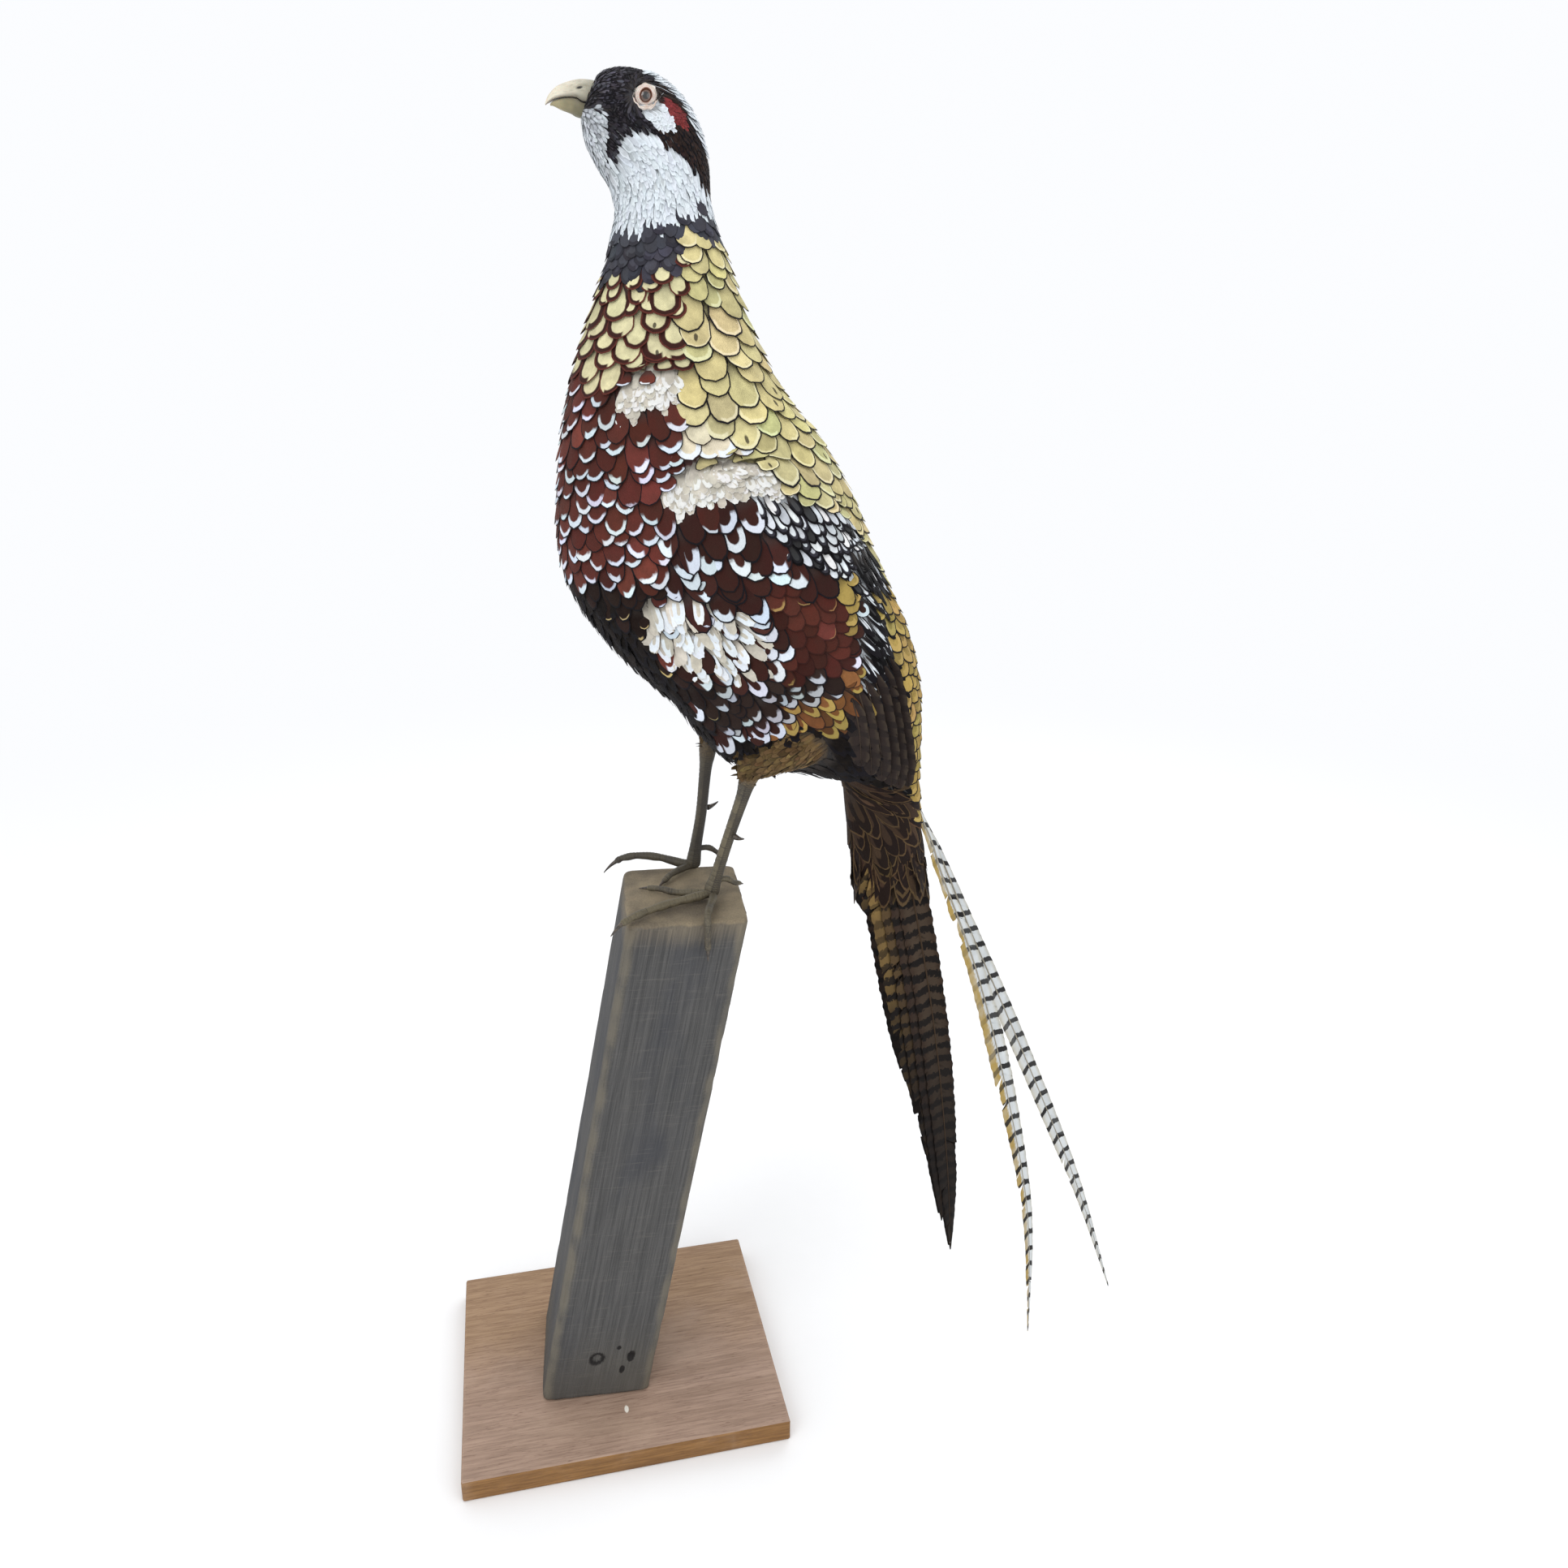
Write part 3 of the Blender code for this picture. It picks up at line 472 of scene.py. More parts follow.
# The middle of each thigh, from the flank to the hock.
THIGHS = [[(40, 127, 490), (36, 115, 483), (27, 103, 476), (23.2, 97.8, 468.4), (22.6, 96.4, 463.2)],
          [(-34, 106, 512), (-28, 92, 496), (-24.2, 80, 482), (-22.5, 75.6, 469.6)]]
THIGH_REACH = [15.5, 15.0, 14.2, 12.0, 10.0]


def in_field(y, z, corners):
    """Whether each place on the side lies inside these corners."""
    inside = np.zeros(len(y), bool)
    for (y0, z0), (y1, z1) in zip(corners, corners[1:] + corners[:1]):
        crosses = (z0 > z) != (z1 > z)
        inside ^= crosses & (y < (y1 - y0) * (z - z0) / (z1 - z0 + 1e-9) + y0)
    return inside


def by_thigh(points):
    """Whether each point lies on a thigh, and the run of that thigh there."""
    on, run = np.zeros(len(points), bool), np.zeros((len(points), 3))
    for path in THIGHS:
        line = np.array(path, float)
        runs = unit(np.gradient(line, axis=0))
        for spot, direction, reach in zip(line, runs, THIGH_REACH):
            near = np.linalg.norm(points - spot, axis=1) < reach
            on |= near
            run[near] = direction
    return on, run


def kinds_at(points, rng):
    """Which kind of feather grows at each point of the bird's frame."""
    wander = rng.normal(0, 1, len(points))
    y, z = points[:, 1] + wander * 0.5, points[:, 2] + rng.normal(0, 0.5, len(points))
    kind = np.full(len(points), KIND["breast"])

    def put(name, where):
        kind[where] = KIND[name]

    shoulder = between(z, *SHOULDER_LINE)
    loose = wander * 1.5
    # Breast and flank.
    put("flank", (y > 44) & (z < 636 - (60 - y) * 0.5))
    put("oval", (z > 699 + loose * 2) & (y < shoulder + 16))
    put("oval", (np.abs(y - shoulder - 3) < 6) & (z > 689))
    put("breast", (z < 708) & (y < 14 + loose))
    put("umber", in_field(y, z, UMBER_FIELD) | ((z < 600) & (y < 40)))
    put("bay", in_field(y, z, BAY_FIELD))
    put("lower", in_field(y, z, LOWER_FIELD))
    put("fringe", in_field(y, z, FRINGE_FIELD) | ((z < 530) & (y > 102) & (y < 130)))
    # Back, wing and rump.
    put("mantle", (y + loose > shoulder + np.where(z > 692, 9, 5)) & (z < 790))
    put("nape", (kind == KIND["mantle"]) & (z > 750 + loose * 2))
    put("pearl", (kind == KIND["oval"]) & (z > 742 + loose * 2))
    put("cream", in_field(y, z, CREAM_FIELD))
    put("mottle", in_field(y, z, MOTTLE_FIELD))
    put("rump", (y + loose > shoulder - 1) & (z < 600))
    streaked = in_field(y + loose, z, STREAK_FIELD) | ((z < 582) & (y > 152))
    put("streak", streaked & (y + loose <= shoulder - 1))
    put("streak", (z > 588) & (z < 607) & (y > 150) & (y < 178) & (np.abs(points[:, 0]) > 20))
    put("rump", oval(y, z, *RUMP_OVAL) < 1)
    # Belly, downy folds, thighs and the root of the tail.
    put("belly", (z < 606) & (y < between(z, *BELLY_LINE) + loose))
    put("belly", (z < between(y, *VENT_LINE)) & (y < 178))
    put("cluster", in_field(y, z, CLUSTER_FIELD) & (rng.random(len(y)) < CLUSTER_SHARE))
    put("down", (np.abs(z - between(y, *FOLD_LINE) - 2) < 6) & (y > 26) & (y < 62))
    put("down", (np.abs(z - between(y, *WRIST_LINE) - 2) < 6.5) & (y > 46) & (y < 108))
    on_thigh = by_thigh(points)[0] & (z < 506)
    put("thigh", on_thigh)
    put("tailcover", (z < 464) & (y > 148) & ~on_thigh)
    put("rump", (z < 500) & (z > 440) & (y > 200 + (z - 470) * 0.1))
    # Neck and head.
    put("collar", z > between(y, *COLLAR_LINE) + loose)
    put("throat", z > between(y, *RUFF_LINE) + loose * 0.8)
    put("band", (z > between(y, *CHEEK_LINE)) & (y > 47))
    put("face", (z > between(y, *CHEEK_LINE)) & (y <= 47 + wander))
    put("face", (np.abs(y - 24.3) < 2.9 - np.maximum(812 - z, 0) * 0.12) & (z > 801) & (z < 818))
    put("chin", (y < 21.5) & (z < 826) & (z > 786))
    put("cap", (z > between(y, *CROWN_LINE)) & (y > 41) & (z > 811))
    put("wattle", oval(y, z, *WATTLE_OVAL) < 1)
    put("patch", oval(y, z, *PATCH_OVAL) < 1)
    return kind


# ---- skin -------------------------------------------------------------------------------------------------
# How far the skin lies under the tips of the plumage on each part, in millimetres.
BODY_COAT, NECK_COAT, HEAD_COAT, TAIL_COAT, THIGH_COAT = 3.2, 2.2, 1.1, 2.4, 1.6


def coat_depth(points):
    """How far the skin lies under the tips of the plumage at points of the bird's frame, in millimetres."""
    z = points[:, 2]
    head, neck = between(z, [775, 800], [0, 1]), between(z, [735, 760], [0, 1])
    depth = BODY_COAT * (1 - neck) + NECK_COAT * (neck - head) + HEAD_COAT * head
    depth = np.where(z < 500, between(z, [440, 500], [TAIL_COAT, BODY_COAT]), depth)
    return np.where(by_thigh(points)[0] & (z < 500), THIGH_COAT, depth)


def make_skin(voxel):
    """One skin in place of the nodes of flesh, drawn in by the coat's depth and coloured as the coat is, dimmed
    as painted shade.
    """
    skin = remeshed("skin", FLESH, voxel)
    mesh = skin.data
    place, normal = coordinates(mesh), coordinates(mesh, True)
    place -= normal * coat_depth(to_bird(place))[:, None] * MM
    mesh.vertices.foreach_set("co", place.astype(np.float32).ravel())
    smooth = skin.modifiers.new("settle", "SMOOTH")
    smooth.factor, smooth.iterations = 0.5, 3
    baked(skin)
    mesh = skin.data
    mesh.shade_smooth()
    here = to_bird(coordinates(mesh))
    rng = np.random.default_rng(3)
    kind = kinds_at(here, rng)
    # The coat's own colours, dimmed as painted shade in the gaps between the feathers.
    ground = PLUME_TABLE["ground"][kind] * 0.55 + PLUME_TABLE["rim"][kind] * 0.15
    write(mesh, "marking", "FLOAT_COLOR", np.column_stack([ground, np.ones(len(ground))]))
    return skin


def skin_material():
    """The coat's colours from above, dimmed as painted shade, and darkened further by grain."""
    material, net, shader = new_material("bare_skin", {"Roughness": 0.8})
    where = object_place(net)
    marking = net.attribute("marking", "Color")
    grain = net.noise(where, 420.0, 4.0)
    feed(net, shader, Base_Color=net.mix(grain.ramp(0.3, 0.75) * 0.6, marking, (0.02, 0.014, 0.012)),
         Normal=net.bump(grain, 0.6, 0.0006))
    return material


# ---- feathers ---------------------------------------------------------------------------------------------
# How far down a vane its tip begins to round, and the share of its outline that each straight side takes.
VANE_SHOULDER, VANE_SIDE = 0.62, 1 / 6
# Edges sharper than this keep the top and the underside of a thin feather apart.
THIN_EDGE = math.radians(60)
VANE_RINGS = (0.0, 0.6, 1.0)


def vane_edge(ring, sweep, rag):
    """A place on a vane, across -1 to 1 and along 0 to 1, from a ring number and a sweep round the tip."""
    if sweep < VANE_SIDE or sweep > 1 - VANE_SIDE:
        share = (sweep if sweep < VANE_SIDE else 1 - sweep) / VANE_SIDE
        taper = 0.3 + 0.7 * math.sin(math.pi / 2 * min(share * 1.15, 1.0))
        side = -1 if sweep < 0.5 else 1
        return side * ring * taper * (1 + rag * ring * 0.5), VANE_SHOULDER * share
    turn = (sweep - VANE_SIDE) / (1 - 2 * VANE_SIDE) * math.pi
    reach = ring * (1 + rag * ring)
    return -reach * math.cos(turn), VANE_SHOULDER + reach * (1 - VANE_SHOULDER) * math.sin(turn)


def make_vane(name, sweeps, raggedness, seed, collection):
    """A closed thin feather, one wide at its middle and one long, whose top and underside meet at the edge."""
    rng = np.random.default_rng(seed)
    rag = rng.uniform(-1, 0.35, sweeps + 1) * raggedness
    rag[0] = rag[-1] = 0
    verts, faces, facts = [], [], []
    for side in (1, -1):
        for ring in VANE_RINGS:
            for k in range(sweeps + 1):
                across, along = vane_edge(ring, k / sweeps, rag[k])
                lift = side * (1 - ring * ring) * min(along / 0.15, 1.0)
                verts.append((across / 2, along, lift * 0.01))
                facts.append((ring, along, across, lift))
    for side in (0, 1):
        base = side * len(VANE_RINGS) * (sweeps + 1)
        for row in range(len(VANE_RINGS) - 1):
            for k in range(sweeps):
                a = base + row * (sweeps + 1) + k
                b = a + sweeps + 1
                quad = (a, b, b + 1, a + 1)
                faces.append(quad[::-1] if side == 0 else quad)
    mesh = bpy.data.meshes.new(name)
    mesh.from_pydata(verts, [], faces)
    facts = np.array(facts)
    for column, field in enumerate(("ring", "along", "across", "lift")):
        write(mesh, field, "FLOAT", facts[:, column])
    bm = bmesh.new()
    bm.from_mesh(mesh)
    bmesh.ops.remove_doubles(bm, verts=bm.verts, dist=1e-5)
    bmesh.ops.dissolve_degenerate(bm, edges=bm.edges, dist=1e-6)
    bmesh.ops.recalc_face_normals(bm, faces=bm.faces)
    bm.to_mesh(mesh)
    bm.free()
    mesh.shade_smooth()
    mesh.set_sharp_from_angle(angle=THIN_EDGE)
    vane = bpy.data.objects.new(name, mesh)
    collection.objects.link(vane)
    return vane


def vane_set(name, sweeps, raggedness, count):
    """A collection of this many vanes, no two alike."""
    collection = bpy.data.collections.new(name)
    for number in range(count):
        make_vane(f"{name}_{number}", sweeps, raggedness, 100 + number, collection)
    return collection


def coat_tree():
    """Lays a feather on the skin at each root point, and gives it a small patch of the map named OFBake."""
    tree = bpy.data.node_groups.new("lay_feathers", "GeometryNodeTree")
    tree.is_modifier = True
    face = tree.interface
    face.new_socket("Geometry", in_out="INPUT", socket_type="NodeSocketGeometry")
    for name, kind in (("Vanes", "Collection"), ("Skin", "Object"), ("Material", "Material"),
                       ("Thickness", "Float"), ("Arch", "Float"), ("Patch", "Float")):
        face.new_socket(name, in_out="INPUT", socket_type="NodeSocket" + kind)
    face.new_socket("Geometry", in_out="OUTPUT", socket_type="NodeSocketGeometry")
    net = Net(tree)
    given = net.add("NodeGroupInput")

    def named(name, kind="FLOAT"):
        return net.add("GeometryNodeInputNamedAttribute", {"data_type": kind}, {"Name": name})

    def vector(operation, *inputs):
        return net.add("ShaderNodeVectorMath", {"operation": operation}, dict(enumerate(inputs)))

    def scaled(wire, by):
        return net.add("ShaderNodeVectorMath", {"operation": "SCALE"}, {0: wire, "Scale": by})

    vanes = net.add("GeometryNodeCollectionInfo", {}, {
        "Collection": given.out("Vanes"), "Separate Children": True, "Reset Children": True})
    laid = net.add("GeometryNodeInstanceOnPoints", {}, {
        "Points": given.out("Geometry"), "Instance": vanes, "Pick Instance": True,
        "Instance Index": named("variant", "INT"), "Rotation": named("turn", "FLOAT_VECTOR"),
        "Scale": named("size", "FLOAT_VECTOR")})
    real = net.add("GeometryNodeRealizeInstances", {}, {"Geometry": laid})
    skin = net.add("GeometryNodeObjectInfo", {}, {"Object": given.out("Skin")}).out("Geometry")
    place = net.add("GeometryNodeInputPosition")
    nearest = net.add("GeometryNodeProximity", {"target_element": "FACES"}, {0: skin, "Sample Position": place})
    facing = net.add("GeometryNodeSampleNearestSurface", {"data_type": "FLOAT_VECTOR"},
                     {"Mesh": skin, "Value": net.add("GeometryNodeInputNormal"), "Sample Position": place})
    lay = net.split(named("lay", "FLOAT_VECTOR"))
    root, tip, free = lay.out("X"), lay.out("Y"), lay.out("Z")
    along, across, lift = named("along"), named("across"), named("lift")
    rise = along ** 1.25
    dome = (1 - across * across) * given.out("Arch")
    height = root + (tip - root) * rise + dome * along + lift * given.out("Thickness")
    laid_at = vector("ADD", nearest, scaled(facing, height))
    loose_at = vector("ADD", place, scaled(named("out", "FLOAT_VECTOR"), height))
    ends = net.add("ShaderNodeMix", {"data_type": "VECTOR"}, {0: free * rise, 4: laid_at, 5: loose_at}, 1)
    placed = net.add("GeometryNodeSetPosition", {}, {"Geometry": real, "Position": ends})
    local = net.add("ShaderNodeCombineXYZ", {}, {"X": named("ring") - 0.5, "Y": along - 0.5})
    baked_at = vector("ADD", named("spot", "FLOAT_VECTOR"), scaled(local, given.out("Patch")))
    mapped = net.add("GeometryNodeStoreNamedAttribute", {"data_type": "FLOAT2", "domain": "CORNER"},
                     {"Geometry": placed, "Name": "OFBake", "Value": baked_at})
    dressed = net.add("GeometryNodeSetMaterial", {}, {"Geometry": mapped, "Material": given.out("Material")})
    net.add("NodeGroupOutput", {}, {"Geometry": dressed})
    return tree


def run_tree(obj, tree, values):
    """Runs the tree on the object with these inputs, and makes the result the object's own mesh."""
    modifier = obj.modifiers.new("lay", "NODES")
    modifier.node_group = tree
    for item in tree.interface.items_tree:
        if item.in_out == "INPUT" and item.name in values:
            modifier[item.identifier] = values[item.name]
    return baked(obj)


# Small feathers need more places to be tried: above this height, this many times as many.
HEAD_FROM, HEAD_SHARE = 757.0, 7.0


def scatter(skin, count, seed):
    """Points spread evenly over the skin at random, in metres, with the skin's smooth normals."""
    mesh = skin.data
    mesh.calc_loop_triangles()
    corners = np.zeros(len(mesh.loop_triangles) * 3, np.int32)
    mesh.loop_triangles.foreach_get("vertices", corners)
    corners = corners.reshape(-1, 3)
    place, normal = coordinates(mesh), coordinates(mesh, True)
    a, b, c = (place[corners[:, k]] for k in range(3))
    area = np.linalg.norm(np.cross(b - a, c - a), axis=1)
    area = area * np.where(to_bird(a)[:, 2] > HEAD_FROM, HEAD_SHARE, 1.0)
    rng = np.random.default_rng(seed)
    pick = rng.choice(len(corners), count, p=area / area.sum())
    u, v = rng.random((2, count))
    flip = u + v > 1
    u, v = np.where(flip, 1 - u, u), np.where(flip, 1 - v, v)
    share = np.column_stack([1 - u - v, u, v])[:, :, None]
    spots = (place[corners[pick]] * share).sum(1)
    facing = unit((normal[corners[pick]] * share).sum(1))
    return spots, facing


def pack(place, lie, across, gap_across, gap_along, order):
    """Picks points in order so that any two keep the smaller of their gaps, across and along the lie."""
    tree = KDTree(len(place))
    for number, spot in enumerate(place):
        tree.insert(spot, number)
    tree.balance()
    alive = np.ones(len(place), bool)
    chosen = []
    for number in order:
        if not alive[number]:
            continue
        chosen.append(number)
        wide, long = gap_across[number], gap_along[number]
        near = np.array([found[1] for found in tree.find_range(place[number], max(wide, long))])
        away = place[near] - place[number]
        wide, long = np.minimum(wide, gap_across[near]), np.minimum(long, gap_along[near])
        inside = (away @ across[number] / wide) ** 2 + (away @ lie[number] / long) ** 2 < 1
        alive[near[inside]] = False
    return np.array(chosen)


# A start of the mark that lies beyond the feather, so that it has none.
NO_MARK = 2.0
# How far off the skin a feather's root is, in millimetres.
ROOT_HEIGHT = 0.25
# The size of each feather's patch of the map named OFBake.
BAKE_PATCH = 0.003
# The share of wholly black feathers among each kind.
BLACK_SHARE = np.zeros(len(PLUMES))
BLACK_SHARE[[KIND["streak"], KIND["mottle"]]] = 0.5, 0.25
# Fields whose own feathers show: those above end at their border.
SHOWN = ["down", "cluster", "thigh", "mottle", "streak", "patch", "wattle"]
# Kinds whose feathers lie less evenly than the rest.
UNRULY = ["flank", "lower", "umber", "cluster", "down", "fringe", "streak"]
# The eye's middle, how far round it nothing grows, and how far out feathers part round it.
EYE_AT = np.array([12.3, 44.2, 831.4])
EYE_CLEAR, EYE_SWEEP = 6.5, 15.0
# A place on the flat of the face behind the bill, the way it faces, as Y and Z, and how low it reaches.
FACE_AT, FACE_OUT, FACE_FOOT = np.array([9.1, 823.8]), np.array([-0.875, 0.484]), 815
# The tail's root lies behind this Y; it ends at the first height and is bare underneath up to the second.
TAIL_FROM, TAIL_END, TAIL_BARE = 150, 397, 445


def featherless(here, normal):
    """Whether nothing grows at a place: round the eyes, behind the bill, and below and under the tail's root."""
    y, z = here[:, 1], here[:, 2]
    by_eye = np.hypot(y - EYE_AT[1], z - EYE_AT[2]) <= EYE_CLEAR
    by_bill = ((here[:, 1:] - FACE_AT) @ FACE_OUT > -1.0) & (z > FACE_FOOT)
    under_tail = (y > TAIL_FROM) & ((z < TAIL_END) | ((z < TAIL_BARE) & (normal[:, 2] < -0.35)))
    return by_eye | by_bill | under_tail


class Plumage:
    """Everything that is known about one bird's feathers: where each grows, how it lies, and how it looks."""

    def __init__(self, skin, count, seed):
        self.rng = rng = np.random.default_rng(seed)
        place, normal = scatter(skin, count, seed)
        here = to_bird(place)
        length, angle, run = body_coordinates(here)
        kind = kinds_at(here, rng)
        keep = ~featherless(here, normal)
        place, normal, here, length, angle, run, kind = (
            part[keep] for part in (place, normal, here, length, angle, run, kind))
        flow = np.column_stack([np.zeros(len(run)), run])
        flow = self.bend_flow(here, flow, kind)
        flow = flow @ TURN.T
        lie = unit(flow - (flow * normal).sum(1, keepdims=True) * normal)
        across = np.cross(lie, normal)
        gap_across, gap_along = (PLUME_TABLE[name][kind] * MM for name in ("across", "along"))
        order = np.argsort(length + rng.normal(0, 0.4, len(length)))
        chosen = pack(place, lie, across, gap_across, gap_along, order)
        self.place, self.normal, self.lie, self.across = (part[chosen] for part in (place, normal, lie, across))
        self.here, self.kind, self.length, self.angle = (part[chosen] for part in (here, kind, length, angle))
        self.kept = self.kept_length()

    def kept_length(self):
        """The share of its length that each feather keeps, so that it leaves a field that shows clear."""
        full, kept = PLUME_TABLE["length"][self.kind], np.ones(len(self.kind))
        shown = [KIND[name] for name in SHOWN]
        for share in (1.0, 0.8, 0.62, 0.45):
            tip = self.here + (self.lie @ TURN) * (full * share)[:, None]
            under = kinds_at(tip, self.rng)
            kept[np.isin(under, shown) & (under != self.kind)] = share * 0.86
        return kept

    def bend_flow(self, here, flow, kind):
        """The lie of the feathers: wings sweep back, thighs run down to the hock, and the eye parts them."""
        flow = flow.copy()
        y, z = here[:, 1], here[:, 2]
        wing = (z < 650) & (z > 470) & (y > 60)
        flow[wing] = unit(flow[wing] + np.array([0, 0.25, 0]))
        thigh = kind == KIND["thigh"]
        flow[thigh] = by_thigh(here)[1][thigh]
        crown = z > 826
        flow[crown] = unit(flow[crown] + np.array([0, 0.5, 0.25]))
        apart = here[:, 1:] - EYE_AT[1:]
        away = np.linalg.norm(apart, axis=1, keepdims=True)
        toward = -(flow[:, 1:] * apart / away).sum(1, keepdims=True).clip(None, 0)
        flow[:, 1:] += np.where(away < EYE_SWEEP, 1.7 * toward * apart / away, 0)
        flow = unit(flow)
        crest = np.isin(kind, [KIND["down"], KIND["cluster"]])
        flow[crest] = unit(flow[crest] + self.rng.normal(0, 0.13, (crest.sum(), 3)))
        return flow

    def piece(self, name, kinds, slot, vanes, tree, skin, material, thickness=0.12, arch=0.5):
        """One mesh of all feathers of these kinds."""
        part = np.flatnonzero(np.isin(self.kind, [KIND[k] for k in kinds]))
        rng, kind, here = self.rng, self.kind[part], self.here[part]
        table = {field: values[kind] for field, values in PLUME_TABLE.items()}
        count = len(part)
        jitter = rng.normal(0, 1, count) * np.where(np.isin(kind, [KIND[k] for k in UNRULY]), 0.22, 0.08)
        lie = unit(self.lie[part] + self.across[part] * jitter[:, None])
        across = np.cross(lie, self.normal[part])
        turns = np.array([Matrix(np.column_stack([a, b, c])).to_euler() for a, b, c in
                          zip(across, lie, np.cross(across, lie))])
        mesh = bpy.data.meshes.new(name)
        mesh.from_pydata([tuple(spot) for spot in self.place[part]], [], [])
        width = table["width"] * self.kept[part] ** 0.4 * rng.uniform(0.9, 1.12, count)
        length = table["length"] * self.kept[part] * rng.uniform(0.88, 1.1, count)
        size = np.column_stack([width, length, np.ones(count)]) * MM
        shade = np.exp(rng.normal(0, 0.6, count) * table["vary"]).clip(0.3, 2.2) * self.light(here, kind)
        uneven = np.where(table["ground"].min(1) > 0.35, 0.008, 0.035)
        tints = 1 + rng.normal(0, 1, (count, 3)) * uneven[:, None]
        write(mesh, "turn", "FLOAT_VECTOR", turns)
        write(mesh, "size", "FLOAT_VECTOR", size)
        write(mesh, "variant", "INT", rng.integers(0, len(vanes.objects), count))
        write(mesh, "out", "FLOAT_VECTOR", self.normal[part])
        for field in ("ground", "mark", "rim"):
            colour = table[field] * (shade if field == "ground" else shade**0.4)[:, None] * tints
            write(mesh, field, "FLOAT_COLOR", np.column_stack([colour.clip(0, 0.9), np.ones(count)]))
        mark_at = table["mark_at"] + rng.normal(0, 0.05, count)
        rim_at = table["rim_at"] + rng.normal(0, 0.015, count)
        write(mesh, "layout", "FLOAT_VECTOR", np.column_stack([mark_at, rim_at, rng.random(count)]))
        start = table["start"] + rng.normal(0, 0.05, count)
        start = np.where(rng.random(count) < table["share"], start, NO_MARK)
        dotted = np.isin(kind, [KIND["oval"], KIND["mantle"]]) & (rng.random(count) < 0.12)
        dot = np.where(dotted, 0.08, -0.1)
        write(mesh, "span", "FLOAT_VECTOR", np.column_stack([start, dot, rng.choice([-1, 0, 0, 1], count)]))
        tip = table["tip"] * rng.uniform(0.85, 1.12, count)
        lay = np.column_stack([np.full(count, ROOT_HEIGHT), tip, self.freedom(here, kind)])
        lay[:, :2] *= MM
        write(mesh, "lay", "FLOAT_VECTOR", lay)
        round_body = 0.5 + 0.48 * np.where(here[:, 0] >= 0, 1, -1) * self.angle[part] / 180
        down_body = (self.length[part] / LINE_LENGTH[-1]).clip(0.01, 0.99)
        write(mesh, "spot", "FLOAT_VECTOR", np.column_stack([round_body, down_body, np.zeros(count)]))
        obj = link(bpy.data.objects.new(name, mesh))
        run_tree(obj, tree, {"Vanes": vanes, "Skin": skin, "Material": material, "Thickness": thickness * MM,
                             "Arch": arch * MM, "Patch": BAKE_PATCH})
        return finish_piece(obj)

    def light(self, here, kind):
        """How much paler or darker the feathers are: flecked on the brow, and greyer down the front of the
        throat, with grey streaks over painted shade.
        """
        brow = (kind == KIND["face"]) & (here[:, 1] < 30) & (here[:, 2] > 832)
        throat = np.isin(kind, [KIND["throat"], KIND["chin"]])
        # Painted shade down the front of the throat; the random streaks on it are grey feathers.
        front = ((36 - here[:, 1]) / 16).clip(0, 1)
        streaks = (self.rng.random(len(kind)) < 0.25) * self.rng.uniform(0.15, 0.4, len(kind))
        black = self.rng.random(len(kind)) < BLACK_SHARE[kind]
        paler = np.where(black, 0.05, 1.0) * np.where(brow, 1.9, 1.0)
        return paler * np.where(throat, 1 - front * (0.16 + streaks), 1.0)

    def freedom(self, here, kind):
        """How loosely a feather hangs, from 0, on the skin, to 1."""
        loose = np.where(np.isin(kind, [KIND["down"], KIND["cluster"]]), 0.3, 0.0)
        loose = np.where(kind == KIND["tailcover"], ((445 - here[:, 2]) / 24).clip(0, 0.95), loose)
        loose = np.where(kind == KIND["thigh"], ((479 - here[:, 2]) / 10).clip(0, 0.9), loose)
        vent = (here[:, 2] < 475) & (here[:, 1] > 90) & (here[:, 1] < 160) & (kind == KIND["belly"])
        return np.where(vent, 0.7, loose)


def plumage_material():
    """Ground, mark and rim by the vane's rings, fine barbs, and a darker root: partly the downy base, partly
    painted shade under the feather above.
    """
    material, net, shader = new_material("plumage", {"Roughness": 0.7, "Sheen Weight": 0.02,
                                                     "Specular IOR Level": 0.07})
    where = object_place(net)
    layout = net.split(net.attribute("layout", "Vector"))
    span = net.split(net.attribute("span", "Vector"))
    ring, along = net.attribute("ring"), net.attribute("along")
    signed = net.attribute("across")
    across = abs(signed)
    rag, cloud = net.noise(where, 700.0, 2.0) - 0.5, net.noise(where, 130.0, 3.0)
    edge = ring + rag * 0.05
    mark = (edge - layout.out("X")).ramp(-0.05, 0.05)
    mark = mark * (along + rag * 0.1 - span.out("X")).ramp(-0.05, 0.06)
    mark = mark * (signed * span.out("Z") + 0.32).ramp(-0.1, 0.1)
    rim = (edge - layout.out("Y")).ramp(-0.025, 0.025)
    away = ((across * 0.7) ** 2 + (along - 0.78) ** 2).maths("SQRT")
    dot = 1 - (away + rag * 0.04 - span.out("Y")).ramp(-0.02, 0.02)
    barb = ((along * 9.0 - across * 5.0 + layout.out("Z") * 3.0 + rag * 0.6) * 12.0).sine()
    colour = net.mix(cloud.ramp(0.3, 0.75) * 0.3, net.attribute("ground", "Color"), (0.03, 0.02, 0.014))
    colour = net.mix(mark, colour, net.attribute("mark", "Color"))
    colour = net.mix(rim, colour, net.attribute("rim", "Color"))
    colour = net.mix(dot * 0.85, colour, (0.02, 0.015, 0.012))
    # Darker towards the root: partly the downy base's own colour, partly painted shade under the overlapping
    # feather.
    colour = net.mix((1 - along.ramp(0.12, 0.5)) * 0.6, colour, (0.05, 0.042, 0.038))
    shade = barb * 0.05 + 1.0 + rag * 0.25
    feed(net, shader, Base_Color=net.shaded(colour, shade), Normal=net.bump(barb + rag * 2.0, 0.35, 0.0003))
    return material


